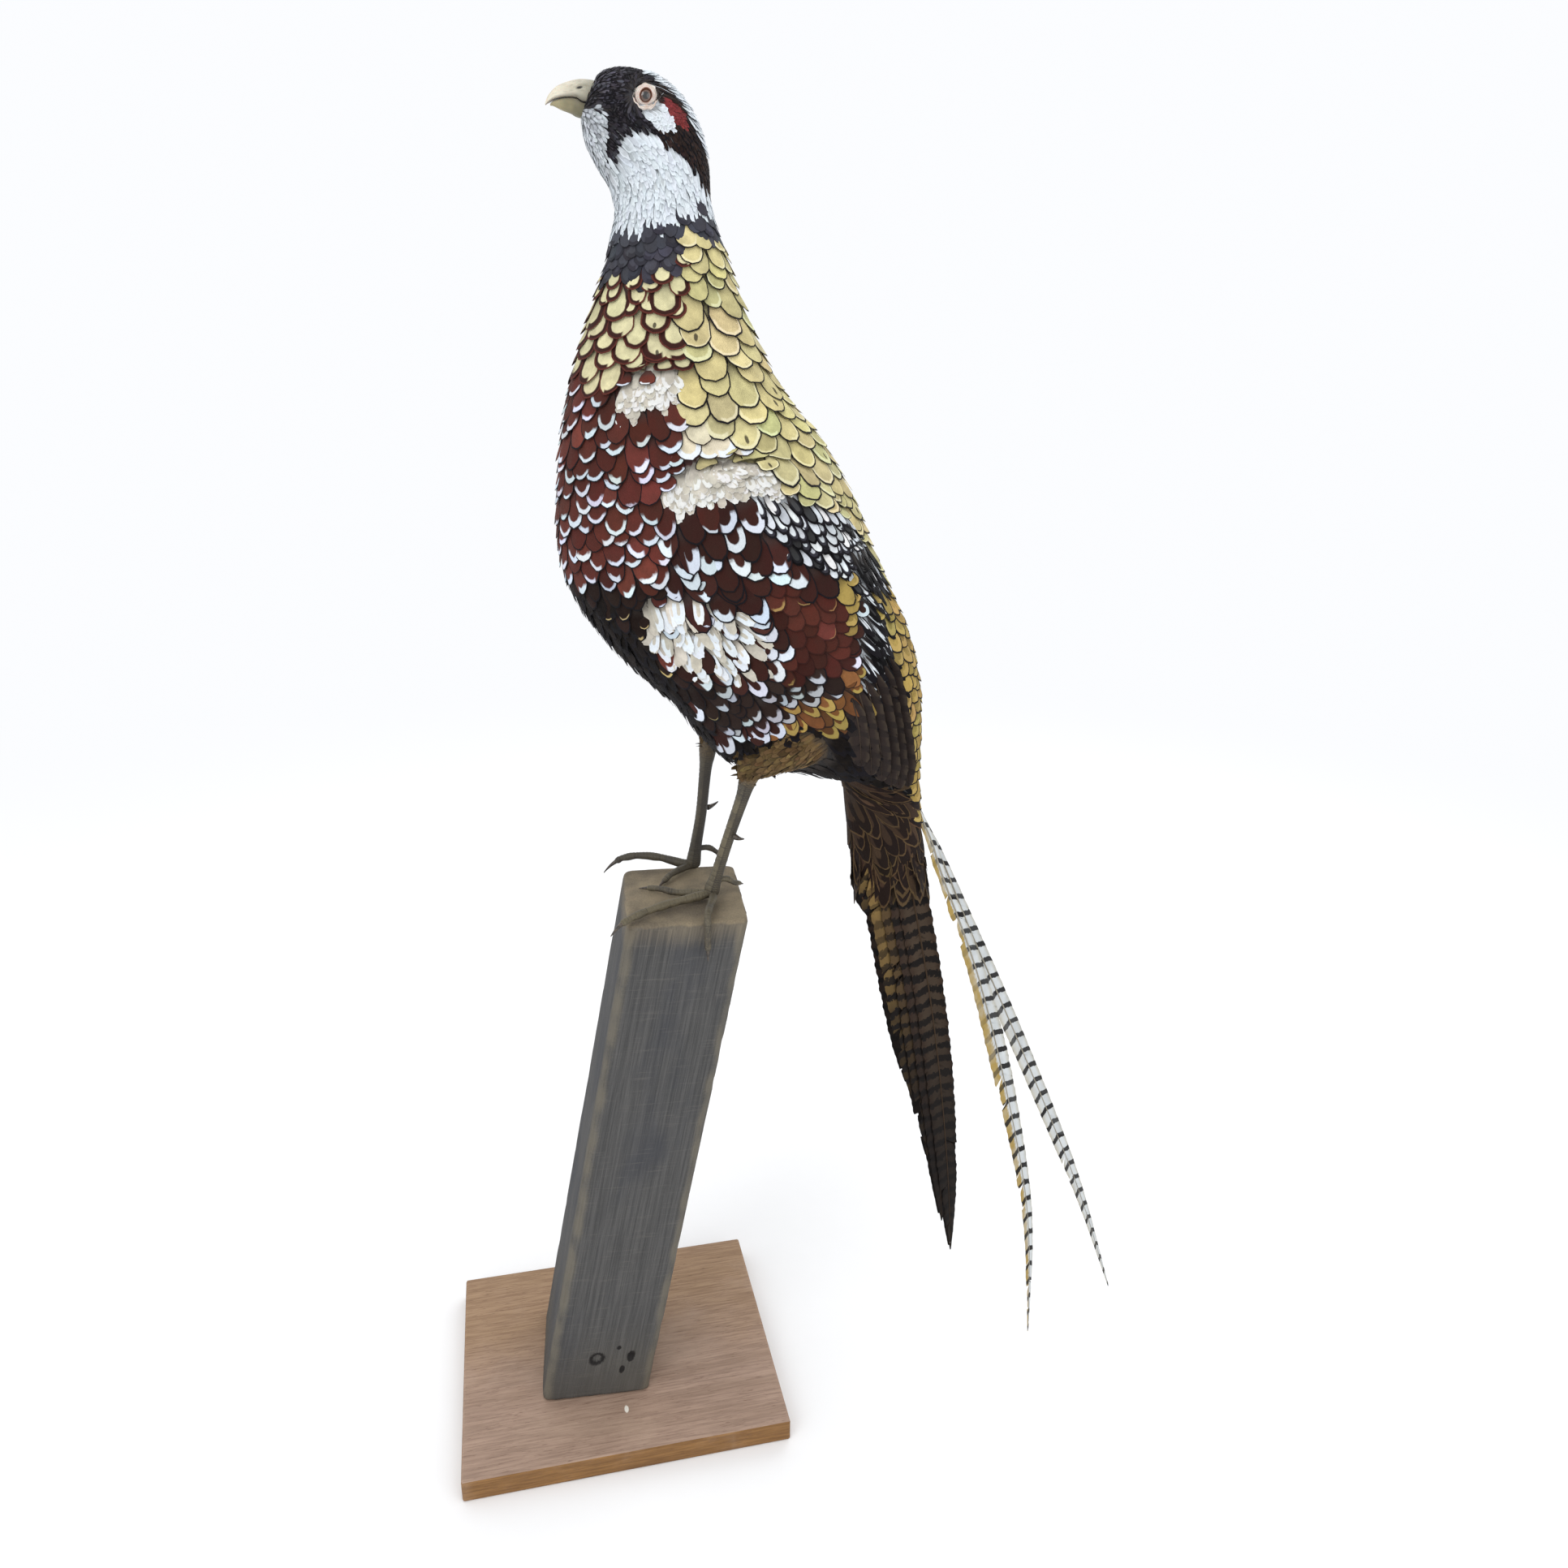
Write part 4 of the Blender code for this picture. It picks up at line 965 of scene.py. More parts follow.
# ---- solids along a path ----------------------------------------------------------------------------------
def solid(name, verts, faces, facts=()):
    """An object whose faces point outwards, with these numbers stored at its points."""
    mesh = bpy.data.meshes.new(name)
    mesh.from_pydata(np.asarray(verts).tolist(), [], faces)
    for field, values in dict(facts).items():
        write(mesh, field, "FLOAT", values)
    bm = bmesh.new()
    bm.from_mesh(mesh)
    bmesh.ops.recalc_face_normals(bm, faces=bm.faces)
    bm.to_mesh(mesh)
    bm.free()
    mesh.shade_smooth()
    return link(bpy.data.objects.new(name, mesh))


def joined(parts):
    """Several (points, faces, facts) as one; a fact that a part lacks is 0 there."""
    fields = sorted({field for _, _, facts in parts for field in facts})
    verts, faces, facts = [], [], {field: [] for field in fields}
    start = 0
    for points, polygons, own in parts:
        verts.append(points)
        faces += [tuple(corner + start for corner in polygon) for polygon in polygons]
        start += len(points)
        for field in fields:
            facts[field].append(np.broadcast_to(own.get(field, 0.0), len(points)))
    facts = {field: np.concatenate(values) for field, values in facts.items()}
    return np.concatenate(verts), faces, facts


def band_faces(rings, sides, closed=False):
    """The faces between rings of this many corners each; closed joins the last ring to the first."""
    return [(i * sides + k, i * sides + (k + 1) % sides,
             (i + 1) % rings * sides + (k + 1) % sides, (i + 1) % rings * sides + k)
            for i in range(rings if closed else rings - 1) for k in range(sides)]


def tube(path, radii, sides, up, relief=None):
    """A closed tube with rounded ends; relief(along, angle) gives its plates' height and the grooves' depth."""
    run = unit(np.gradient(path, axis=0))
    first = unit(np.array(up, float) - (run @ np.array(up, float))[:, None] * run)
    second = np.cross(run, first)
    along = lengths(path)
    near_end = np.minimum(along / (radii[0] * 0.8), (along[-1] - along) / (radii[-1] * 0.8)).clip(0, 1)
    angle = np.linspace(-math.pi, math.pi, sides, endpoint=False)
    height, groove = relief(along[:, None], angle[None]) if relief else (0, np.zeros((len(path), sides)))
    reach = (radii[:, None] + height + np.zeros(sides)) * np.sqrt(1 - (1 - near_end) ** 2).clip(0.05)[:, None]
    out = np.cos(angle)[:, None] * first[:, None] + np.sin(angle)[:, None] * second[:, None]
    rings = path[:, None] + reach[..., None] * out
    faces = band_faces(len(path), sides)
    start, end, last = len(path) * sides, len(path) * sides + 1, (len(path) - 1) * sides
    for k in range(sides):
        following = (k + 1) % sides
        faces += [(start, following, k), (end, last + k, last + following)]
    verts = np.concatenate([rings.reshape(-1, 3), path[:1], path[-1:]])
    facts = {"along": np.append(np.repeat(along, sides), [0, along[-1]]),
             "groove": np.append(np.broadcast_to(groove, (len(path), sides)).ravel(), [0, 0])}
    return verts, faces, facts


def refined(name, nodes, levels=2):
    """A smooth, finer copy of CAD nodes."""
    copy = object_from(name, closed_copy(nodes))
    finer = copy.modifiers.new("finer", "SUBSURF")
    finer.levels = finer.render_levels = levels
    return baked(copy)


# ---- legs -------------------------------------------------------------------------------------------------
# Middle line and radius down each shank and toe, in the bird's frame, millimetres.
SHANKS = {
    "left": [(26.0, 101.5, 474, 6.4), (23.4, 97.6, 466.5, 6.4), (22.5, 95.2, 459.5, 5.4),
             (22.4, 92.4, 450, 4.3), (22.6, 84, 425, 3.8), (22.8, 76.5, 401, 4.0), (22.8, 73.4, 391, 4.9),
             (22.8, 72.8, 385.2, 4.4)],
    "right": [(-23.4, 78.6, 480, 6.2), (-22.6, 75.8, 471.5, 6.0), (-22.4, 74.8, 464, 5.2),
              (-22.6, 73.6, 454, 4.1), (-23, 70.6, 425, 3.7), (-23.6, 67, 403, 4.0), (-23.7, 65.2, 391, 4.9),
              (-23.7, 64.8, 385.2, 4.4)],
}
POST_TOP = 383.5
# Middle of each toe: X, Y and height over the post's top, and its radius at the root.
TOES = {
    "left": {
        "middle": ([(27.0, 64.6, 4.2), (33.5, 48, 3.6), (43, 33, 3.8), (51, 22.5, 3.4), (56.5, 16.5, 2.6)], 3.1),
        "inner": ([(20.7, 64.6, 3.8), (17.5, 51, 3.2), (11.5, 41, 3.6), (6.8, 34.5, 2.4)], 2.6),
        "outer": ([(31.6, 72.8, 4.0), (44.5, 69.6, 4.2), (55.0, 67.4, 4.0), (60.4, 66.8, -3.6),
                   (60.6, 66.8, -15.5)], 2.8),
        "hind": ([(21.0, 82.4, 12.5), (17.0, 87.0, 8.2), (12.5, 91.4, 5.2)], 2.2),
    },
    "right": {
        "middle": ([(-26.6, 56.0, 5.0), (-32.0, 43, 7.2), (-34.6, 29, 8.2), (-35.8, 19, 6.6),
                    (-35.8, 15, 5.0)], 3.1),
        "inner": ([(-19.2, 57.6, 4.0), (-10.8, 49.5, 3.8), (-4.0, 44.5, 2.4)], 2.6),
        "outer": ([(-32.2, 64.8, 4.6), (-38.4, 63.8, 1.5), (-38.8, 63.0, -7.0), (-38.6, 62.6, -15.0)], 2.8),
        "hind": ([(-25.4, 74.6, 15.5), (-26.6, 80.0, 12.0), (-27.0, 84.5, 8.0)], 2.2),
    },
}
TOE_TAPER = 0.62
# How far the end of a toe runs into its claw.
CLAW_ROOT = 2.0
TUBE_STEP = 0.36
SHANK_SIDES, TOE_SIDES = 28, 20
SHANK_PLATE, TOE_PLATE = 3.3, 2.1
PLATE_HEIGHT = 0.3


def shank_relief(along, angle):
    """Two columns of plates down the front and small pebbles behind."""
    place = (along + SHANK_PLATE / 2 * (angle > 0)) / SHANK_PLATE % 1.0
    plate = 1 - np.abs(2 * place - 1) ** 7
    seam = np.exp(-((angle / 0.1) ** 2)) + np.exp(-(((np.abs(angle) - 1.4) / 0.12) ** 2))
    front = plate * (1 - seam).clip(0, 1)
    behind = 0.5 + 0.5 * np.sin(along * 4.0 + 1.5 * np.sin(angle * 4)) * np.cos(angle * 8)
    raised = np.where(np.abs(angle) < 1.4, front, behind * 0.6)
    return PLATE_HEIGHT * (raised - 1), 1 - raised


def toe_relief(along, angle):
    """Plates across the top of a toe and pads under it."""
    plate = 1 - np.abs(2 * (along / TOE_PLATE % 1.0) - 1) ** 6
    pad = 0.5 + 0.5 * np.cos(along * 2 * math.pi / 9)
    raised = np.where(np.abs(angle) < 1.7, plate, 0.4 + 0.6 * pad)
    return PLATE_HEIGHT * (raised - 1), 1 - raised


def make_leg(side):
    """One shank with its four toes, and the nodes that they replace."""
    shank = np.array(SHANKS[side], float)
    rows = spline(shank, int(lengths(shank[:, :3])[-1] / TUBE_STEP))
    parts = [tube(rows[:, :3], rows[:, 3], SHANK_SIDES, (0, -1, 0.3), shank_relief)]
    for table, radius in TOES[side].values():
        line = np.array(table, float) + [0, 0, POST_TOP]
        root = [np.interp(line[0, 2], rows[::-1, 2], rows[::-1, k]) for k in (0, 1)] + [line[0, 2]]
        line = np.vstack([root, line, line[-1] + unit(line[-1] - line[-2]) * CLAW_ROOT])
        path = spline(line, int(lengths(line)[-1] / TUBE_STEP))
        share = np.linspace(0, 1, len(path))
        knuckles = 1 + 0.07 * np.cos(share * 2 * math.pi * len(table))
        radii = radius * (1 - (1 - TOE_TAPER) * share) * knuckles
        parts.append(tube(path, radii, TOE_SIDES, (0, -0.2, 1), toe_relief))
    for number, (points, _, facts) in enumerate(parts):
        facts["hock"] = facts["along"] + 99.0 * (number > 0)
    verts, faces, facts = joined(parts)
    nodes = ["tarsus_" + side] + [f"toe_{side}_{toe}" for toe in TOES[side]]
    return solid("leg_" + side, to_world(verts), faces, facts), nodes


def leg_material():
    """Grey-brown scales with painted shade in their grooves and on the far leg, and ochre at the hock."""
    material, net, shader = new_material("scaled_leg", {"Specular IOR Level": 0.4})
    where = object_place(net)
    groove = net.attribute("groove")
    blotch, grain = net.noise(where, 55.0, 4.0), net.noise(where, 900.0, 3.0)
    colour = net.mix(blotch.ramp(0.35, 0.68), tone(96, 88, 69), tone(64, 59, 51))
    colour = net.mix(grain.ramp(0.45, 0.8) * 0.4, colour, tone(134, 124, 98))
    # Painted shade in the grooves between the scales.
    colour = net.mix(groove.ramp(0.25, 0.95) * 0.75, colour, tone(38, 33, 28))
    hock = 1 - (net.attribute("hock") + (blotch - 0.5) * 8.0).ramp(10.0, 20.0)
    colour = net.mix(hock * 0.8, colour, net.mix(grain.ramp(0.4, 0.7), tone(96, 76, 44), tone(136, 112, 70)))
    # Painted shade on the far leg, on the bird's right side.
    far = 1 - net.split(where).out("X").ramp(-0.014, -0.006)
    colour = net.mix(far * 0.6, colour, tone(44, 40, 37))
    feed(net, shader, Base_Color=colour, Roughness=0.42 + grain * 0.3,
         Normal=net.bump(grain + blotch, 0.35, 0.0003))
    return material


def claw_material():
    """Dark horn with fine streaks along it."""
    material, net, shader = new_material("claw_horn", {"Coat Roughness": 0.25})
    where = object_place(net)
    streak = net.noise(net.scaled(where, (600.0, 160.0, 600.0)), 1.0, 4.0)
    feed(net, shader, Base_Color=net.mix(streak.ramp(0.35, 0.75), tone(40, 35, 31), tone(92, 80, 66)),
         Roughness=0.3 + streak * 0.25, Coat_Weight=streak * 0.3, Normal=net.bump(streak, 0.3, 0.0002))
    return material


# ---- head -------------------------------------------------------------------------------------------------
# Bill halves: top Y Z, bottom Y Z and width, from the face to the tip, in millimetres.
UPPER_BILL = [(22.5, 839.6, 17.0, 829.4, 11.6), (18.0, 840.7, 12.2, 830.0, 12.4), (11.6, 841.0, 8.9, 831.7, 11.2),
              (5.4, 839.7, 3.5, 831.9, 9.2), (-0.9, 837.2, -2.0, 831.0, 6.6), (-5.1, 833.2, -5.3, 829.6, 3.4),
              (-7.0, 829.6, -7.0, 828.4, 1.0)]
LOWER_BILL = [(16.5, 828.3, 13.2, 822.6, 10.6), (11.7, 829.3, 8.6, 823.5, 11.6), (8.6, 831.1, 5.8, 824.9, 9.8),
              (3.3, 831.3, 1.0, 826.4, 7.4), (-2.1, 830.3, -2.7, 828.0, 4.2), (-4.5, 829.0, -4.5, 828.2, 1.2)]
BILL_RINGS, BILL_SIDES, BILL_FLOOR = 70, 52, 9
NOSTRIL, NOSTRIL_LEAN = (10.9, 836.2), 12


def swell(y, z, centre, half, lean):
    """1 at the middle of a leaning oval, falling to 0 round it."""
    return np.exp(-oval(y, z, centre, half, lean) ** 2)


def make_bill(name, table, flat_below):
    """One half of the bill; the upper one is flat below and has the nostrils."""
    rows = spline(table, BILL_RINGS)
    top, bottom, width = rows[:, None, 0:2], rows[:, None, 2:4], rows[:, None, 4]
    angle = np.linspace(0, math.pi, BILL_SIDES + 1)
    height = np.sin(angle) ** 0.85
    share = (height if flat_below else 1 - height)[None, :, None]
    arc = bottom + (top - bottom) * share
    x = width / 2 * np.cos(angle)
    y, z = arc[..., 0], arc[..., 1]
    hole, shield = np.zeros_like(y), np.zeros_like(y)
    if flat_below:
        hole = swell(y, z, NOSTRIL, (2.3, 0.75), NOSTRIL_LEAN)
        shield = swell(y, z, (NOSTRIL[0] + 0.2, NOSTRIL[1] + 1.6), (3.4, 1.2), NOSTRIL_LEAN)
    lip = np.exp(-((height / 0.16) ** 2))
    x = x + np.sign(np.cos(angle)) * (shield * 0.5 - hole * 1.1 + lip * 0.18)
    floor_x = np.linspace(-1, 1, BILL_FLOOR + 2)[1:-1] * width / 2
    floor = np.broadcast_to(arc[:, :1], (BILL_RINGS, BILL_FLOOR, 2))
    rings = np.concatenate([np.dstack([x, y, z]), np.dstack([floor_x, floor])], axis=1)
    sides = rings.shape[1]
    ends = [tuple(range(sides)), tuple((BILL_RINGS - 1) * sides + k for k in range(sides))]
    faces = band_faces(BILL_RINGS, sides) + ends
    blank = np.zeros((BILL_RINGS, BILL_FLOOR))
    along = np.repeat(np.linspace(0, 1, BILL_RINGS), sides)
    facts = {"along": along, "hole": np.concatenate([hole, blank], axis=1).ravel(),
             "edge": np.concatenate([np.broadcast_to(1 - height, hole.shape), blank + 1], axis=1).ravel(),
             "lower": np.full(len(along), 0.0 if flat_below else 1.0)}
    return solid(name, to_world(rings.reshape(-1, 3)), faces, facts)


def bill_material():
    """Pale horn at the tip, greyer at the root and more olive below, with painted shade in the nostril, and dark
    along the gape.
    """
    material, net, shader = new_material("bill_horn", {"Coat Roughness": 0.3, "Subsurface Weight": 0.08,
                                                       "Subsurface Scale": 0.002})
    where = object_place(net)
    along, edge = net.attribute("along"), net.attribute("edge")
    streak = net.noise(net.scaled(where, (700.0, 130.0, 700.0)), 1.0, 5.0)
    blotch = net.noise(where, 210.0, 3.0)
    upper = net.mix((along + (blotch - 0.5) * 0.5).ramp(0.1, 0.75), tone(150, 146, 128), tone(214, 206, 186))
    below = net.mix((along + (blotch - 0.5) * 0.5).ramp(0.2, 0.9), tone(104, 98, 72), tone(158, 148, 112))
    colour = net.mix(net.attribute("lower"), upper, below)
    colour = net.mix(streak.ramp(0.5, 0.8) * 0.4, colour, tone(104, 98, 84))
    colour = net.mix((edge + (blotch - 0.5) * 0.2).ramp(0.72, 0.98) * 0.65, colour, tone(74, 68, 52))
    # Painted shade in the hollow of the nostril.
    colour = net.mix(net.attribute("hole").ramp(0.35, 0.8), colour, tone(22, 20, 20))
    feed(net, shader, Base_Color=colour, Roughness=0.36 + streak * 0.25, Coat_Weight=0.15 + blotch * 0.2,
         Normal=net.bump(streak + blotch * 0.6, 0.3, 0.0003))
    return material


EYE_RADIUS = 6.0
LID_TURNS, LID_STEPS, LID_BACK = 84, 18, 6
# Half height and width of the open eye and of the bare ring round it, and the ring's lean.
LID_INNER, LID_OUTER, LID_LEAN = (3.3, 2.8), (6.9, 6.4), math.radians(-28)


def make_eye(side, sign):
    """A glass ball that stores how far each of its points lies from the middle of the iris."""
    bm = bmesh.new()
    bmesh.ops.create_uvsphere(bm, u_segments=56, v_segments=36, radius=EYE_RADIUS)
    bmesh.ops.rotate(bm, verts=bm.verts, matrix=Matrix.Rotation(math.pi / 2, 3, "Y"))
    offset = np.array([vert.co for vert in bm.verts])
    eye = object_from("glass_eye_" + side, bm)
    place = to_world(offset + EYE_AT * [sign, 1, 1])
    eye.data.vertices.foreach_set("co", place.astype(np.float32).ravel())
    from_middle = np.hypot(*offset[:, 1:].T)
    write(eye.data, "iris", "FLOAT_VECTOR", np.column_stack([offset[:, 1:], from_middle]) / EYE_RADIUS)
    return eye


def eye_material():
    """A brown glass iris with fine rays round a black pupil, under a clear coat."""
    material, net, shader = new_material("glass_eye", {"Roughness": 0.12, "Coat Weight": 1.0,
                                                       "Coat Roughness": 0.02})
    iris = net.attribute("iris", "Vector")
    radius = net.split(iris).out("Z")
    rays = net.noise(iris, 14.0, 4.0, 0.7)
    ring = radius + (rays - 0.5) * 0.05
    colour = net.mix(rays.ramp(0.35, 0.7), tone(62, 40, 30), tone(112, 78, 58))
    colour = net.mix(ring.ramp(0.5, 0.66), colour, tone(58, 48, 42))
    colour = net.mix(1 - ring.ramp(0.27, 0.31), colour, tone(8, 7, 7))
    feed(net, shader, Base_Color=colour)
    return material


def make_lid(side, sign, tree):
    """The bare, folded ring round one eye: it starts on the glass, swells, and runs under the feathers."""
    rng = np.random.default_rng(17)
    turn = np.linspace(0, 2 * math.pi, LID_TURNS, endpoint=False)
    wave = sum(rng.normal(0, 0.05) * np.sin(turn * k + rng.uniform(0, 6)) for k in (3, 5, 7, 9, 13))
    rows, facts = [], []

    def spot(half):
        up, wide = np.cos(turn) * half[0], np.sin(turn) * half[1]
        cos, sin = math.cos(LID_LEAN), math.sin(LID_LEAN)
        return wide * cos - up * sin, up * cos + wide * sin

    inner, outer = np.array(spot(LID_INNER)), np.array(spot(LID_OUTER)) * (1 + wave * 0.4)
    for step in range(LID_STEPS):
        last = step == LID_STEPS - 1
        share = step / (LID_STEPS - 1)
        dy, dz = inner + (outer - inner) * share
        y, z = EYE_AT[1] + dy, EYE_AT[2] + dz
        glass = EYE_AT[0] + np.sqrt((EYE_RADIUS**2 - dy**2 - dz**2).clip(0.0)) + 0.3
        skin = np.array([skin_x(tree, sign, a, b) for a, b in zip(y, z)]) + (-0.6 if last else 0.35)
        skin = sum(np.roll(skin, shift) for shift in range(-4, 5)) / 9
        fold = 0.17 * np.sin(share * 4.5 * 2 * math.pi + wave * 9) * math.sin(math.pi * share)
        roll = 0.75 * math.exp(-(((share - 0.1) / 0.13) ** 2)) + 0.4 * math.sin(math.pi * share)
        cover = skin if last else (glass + skin + np.sqrt((glass - skin) ** 2 + 0.3)) / 2
        rows.append(np.column_stack([cover + roll + fold, y, z]))
        facts.append(np.column_stack([np.full(LID_TURNS, share), fold * 3]))
    for step in range(1, LID_BACK + 1):
        share = 1 - step / (LID_BACK + 1)
        dy, dz = inner * 0.98 + (outer - inner) * share
        deep = np.full(LID_TURNS, EYE_AT[0] + 1.0)
        rows.append(np.column_stack([deep, EYE_AT[1] + dy, EYE_AT[2] + dz]))
        facts.append(np.column_stack([np.full(LID_TURNS, share), np.zeros(LID_TURNS)]))
    verts = np.concatenate(rows) * [sign, 1, 1]
    faces = band_faces(len(rows), LID_TURNS, closed=True)
    table = np.concatenate(facts)
    return solid("eyelid_" + side, to_world(verts), faces, {"across": table[:, 0], "fold": table[:, 1]})


def skin_x(tree, sign, y, z):
    """How far out the skin is at a place on the bird's side."""
    inward = to_world((-sign, 0, 0))[0] - to_world((0, 0, 0))[0]
    hit = tree.ray_cast(Vector(to_world((sign * 90, y, z))[0]), Vector(inward))[0]
    return abs(to_bird(np.array(hit))[0, 0]) if hit else EYE_AT[0] + 4


def lid_material():
    """Pale bare skin with painted shade, redder and darker, at its inner edge against the glass and in the
    troughs of its folds.
    """
    material, net, shader = new_material("bare_eyelid", {"Specular IOR Level": 0.3, "Subsurface Weight": 0.1,
                                                         "Subsurface Scale": 0.002})
    where = object_place(net)
    across, fold = net.attribute("across"), net.attribute("fold")
    blotch, grain = net.noise(where, 330.0, 3.0), net.noise(where, 1500.0, 3.0)
    colour = net.mix(blotch.ramp(0.35, 0.7), tone(204, 188, 176), tone(224, 216, 208))
    # Painted shade where the lid tucks in against the glass.
    colour = net.mix(1 - (across + (blotch - 0.5) * 0.12).ramp(0.03, 0.2), colour, tone(120, 78, 64))
    # Painted shade in the troughs of the folds.
    colour = net.mix(fold.ramp(0.02, -0.35) * 0.5, colour, tone(146, 112, 98))
    feed(net, shader, Base_Color=colour, Roughness=0.5 + grain * 0.25,
         Normal=net.bump(grain + blotch, 0.4, 0.0003))
    return material


# ---- quills -----------------------------------------------------------------------------------------------
BARB_STEP = 1.7
BARB_SHARES = np.array([0.0, 0.38, 0.74, 1.0])
# The rows of barbs in a sheet, more or less, and its thickness in millimetres.
SHEET_ROWS, SHEET_THICK = 9, 0.08


def quill(path, side, half, seed, lean=0.55, splits=0.1, ragged=0.015, shaft=0.8, front=0.0, dim=0.0):
    """One long feather of leaning sheets of barbs each side of a shaft, as (points, faces, facts).

    path and side are rows down the shaft and across it; half is how far the vane reaches to each side, all
    in millimetres. front is how much of the leading vane is paler and dim how dark the whole feather is."""
    rng = np.random.default_rng(seed)
    along = lengths(path)
    total = along[-1]
    facing = unit(np.cross(side, unit(np.gradient(path, axis=0))))
    table = np.column_stack([path, side, facing, half])

    def at(distance):
        return np.stack([np.interp(distance, along, column) for column in table.T], axis=-1)

    rows = max(int(total / BARB_STEP), 4)
    share = BARB_SHARES[None]
    parts = []
    for which, sign in ((0, -1), (1, 1)):
        start = 0
        while start < rows:
            end = min(start + int(SHEET_ROWS * rng.uniform(0.5, 1.6)) + 1, rows)
            base = np.arange(start, end + 1)[:, None] * total / rows
            pull = np.linspace(-1, 1, len(base))[:, None]
            torn = rng.random() < (splits if sign > 0 else splits * 0.4)
            gap = BARB_STEP * rng.uniform(0.4, 1.6) * torn
            short = rng.uniform(0.1, 0.4) * torn * (rng.random() < 0.5)
            lift, shade = rng.normal(0, 0.3) * torn, rng.random()
            wide = at(base[:, 0])[:, 9 + which][:, None]
            reach = 1 + ragged * (np.sin(base * 0.37 + seed) + np.sin(base * 0.91)) - short
            ends = 1 - 0.12 * torn * np.abs(pull) ** 2 * share**2
            down = (base - pull * gap * share**1.6 + lean * wide * share).clip(0, total)
            place = at(down)
            spots = place[..., 0:3] + place[..., 3:6] * (sign * wide * share * reach * ends)[..., None]
            spots = spots + place[..., 6:9] * (lift * share**2 + share * (1 - share))[..., None]
            even = {"shade": shade, "front": front, "dim": dim}
            parts.append(slab(spots, place[..., 6:9], {
                "reach": down, "across": sign * share + 0 * base, "tip": np.repeat(base / total, 4, 1),
                **{name: np.full(down.shape, value) for name, value in even.items()}}))
            start = end
    share = np.linspace(0, 1, max(rows // 3, 8))
    line = at(share * total)
    stem = tube(line[:, 0:3] + line[:, 6:9] * 0.12, shaft * (1 - 0.85 * share), 8, (0.1, 0.2, 1))
    stem[2].update({"reach": stem[2]["along"], "shaft": np.ones(len(stem[0])), "tip": stem[2]["along"] / total})
    return joined(parts + [stem])


def slab(spots, facing, facts):
    """A thin closed sheet through a grid of places, thickest at its middle."""
    rows, columns = spots.shape[:2]
    inner = np.zeros((rows, columns), bool)
    inner[1:-1, 1:-1] = True
    top = np.arange(rows * columns).reshape(rows, columns)
    under = top.copy()
    under[inner] = rows * columns + np.arange(inner.sum())
    lift = facing * (SHEET_THICK / 2) * inner[..., None]
    verts = np.concatenate([(spots + lift).reshape(-1, 3), (spots - lift)[inner]])
    faces = []
    for i in range(rows - 1):
        for k in range(columns - 1):
            faces.append((top[i, k], top[i, k + 1], top[i + 1, k + 1], top[i + 1, k]))
            faces.append((under[i, k], under[i + 1, k], under[i + 1, k + 1], under[i, k + 1]))
    facts = {name: np.concatenate([value.ravel(), value[inner]]) for name, value in facts.items()}
    return verts, faces, facts


def feathers_object(name, quills, material, nodes=(), place=lambda points: points * MM):
    """Several quills as one piece; each has its own column of the map named OFBake."""
    count = len(quills)
    for number, (verts, faces, facts) in enumerate(quills):
        facts["column"] = np.full(len(verts), float(number))
    verts, faces, facts = joined(quills)
    obj = solid(name, place(verts), faces, facts)
    mesh = obj.data
    mesh.set_sharp_from_angle(angle=THIN_EDGE)
    corners = np.zeros(len(mesh.loops), np.int32)
    mesh.loops.foreach_get("vertex_index", corners)
    u = (facts["column"] + 0.5 + 0.44 * facts["across"]) / count
    v = 0.02 + 0.96 * facts["tip"]
    layer = mesh.uv_layers.new(name="OFBake")
    layer.uv.foreach_set("vector", np.column_stack([u, v])[corners].astype(np.float32).ravel())
    return finish_piece(obj, material, nodes)


def node_slices(name, step):
    """Where a hanging feather's middle is, which way it is broad, and half its breadth, from its top down."""
    mesh = NODES[name].data
    place = coordinates(mesh) / MM
    pairs = np.zeros(len(mesh.edges) * 2, np.int32)
    mesh.edges.foreach_get("vertices", pairs)
    a, b = place[pairs[0::2]], place[pairs[1::2]]
    high, low = place[:, 2].max() - 0.4, place[:, 2].min() + 0.4
    middles, sides, halves = [], [], []
    for level in np.linspace(high, low, max(int((high - low) / step), 4)):
        cross = (a[:, 2] - level) * (b[:, 2] - level) < 0
        share = ((level - a[cross, 2]) / (b[cross, 2] - a[cross, 2]))[:, None]
        spots = (a[cross] + (b[cross] - a[cross]) * share)[:, :2]
        off = spots - spots.mean(0)
        values, vectors = np.linalg.eigh(off.T @ off)
        broad = vectors[:, 1] if values[1] > 4 * values[0] or not sides else sides[-1][:2]
        broad = broad if broad @ (sides[-1][:2] if sides else np.array([1.0, 0.0])) > 0 else -broad
        reach = off @ broad
        middle = spots.mean(0) + broad * (reach.max() + reach.min()) / 2
        middles.append((*middle, level))
        sides.append(np.array([*broad, 0.0]))
        halves.append((reach.max() - reach.min()) / 2)
    return np.array(middles), np.array(sides), np.array(halves)


def settled(rows, times=2):
    """Rows with each one drawn to the middle of its neighbours; the ends stay."""
    rows = rows.copy()
    for _ in range(times):
        rows[1:-1] = rows[1:-1] * 0.5 + (rows[:-2] + rows[2:]) * 0.25
    return rows


def hanging_quill(name, seed, rise, least=0.0, **more):
    """A feather along a hanging node; rise, rows of steps in Y and Z, carries its root up into the body."""
    middle, side, half = node_slices(name, 4.0)
    above = middle[0] + [(0, step_y, step_z) for step_y, step_z in rise]
    middle, side = np.vstack([above, middle]), np.vstack([side[:1].repeat(len(rise), 0), side])
    half = np.append(np.full(len(rise), max(half[0], least)), half)
    half = settled(np.maximum(half, least * (middle[:, 2] > middle[len(rise), 2] - 14)), 3)
    return quill(settled(middle), unit(settled(side)), np.column_stack([half, half]), seed, **more)


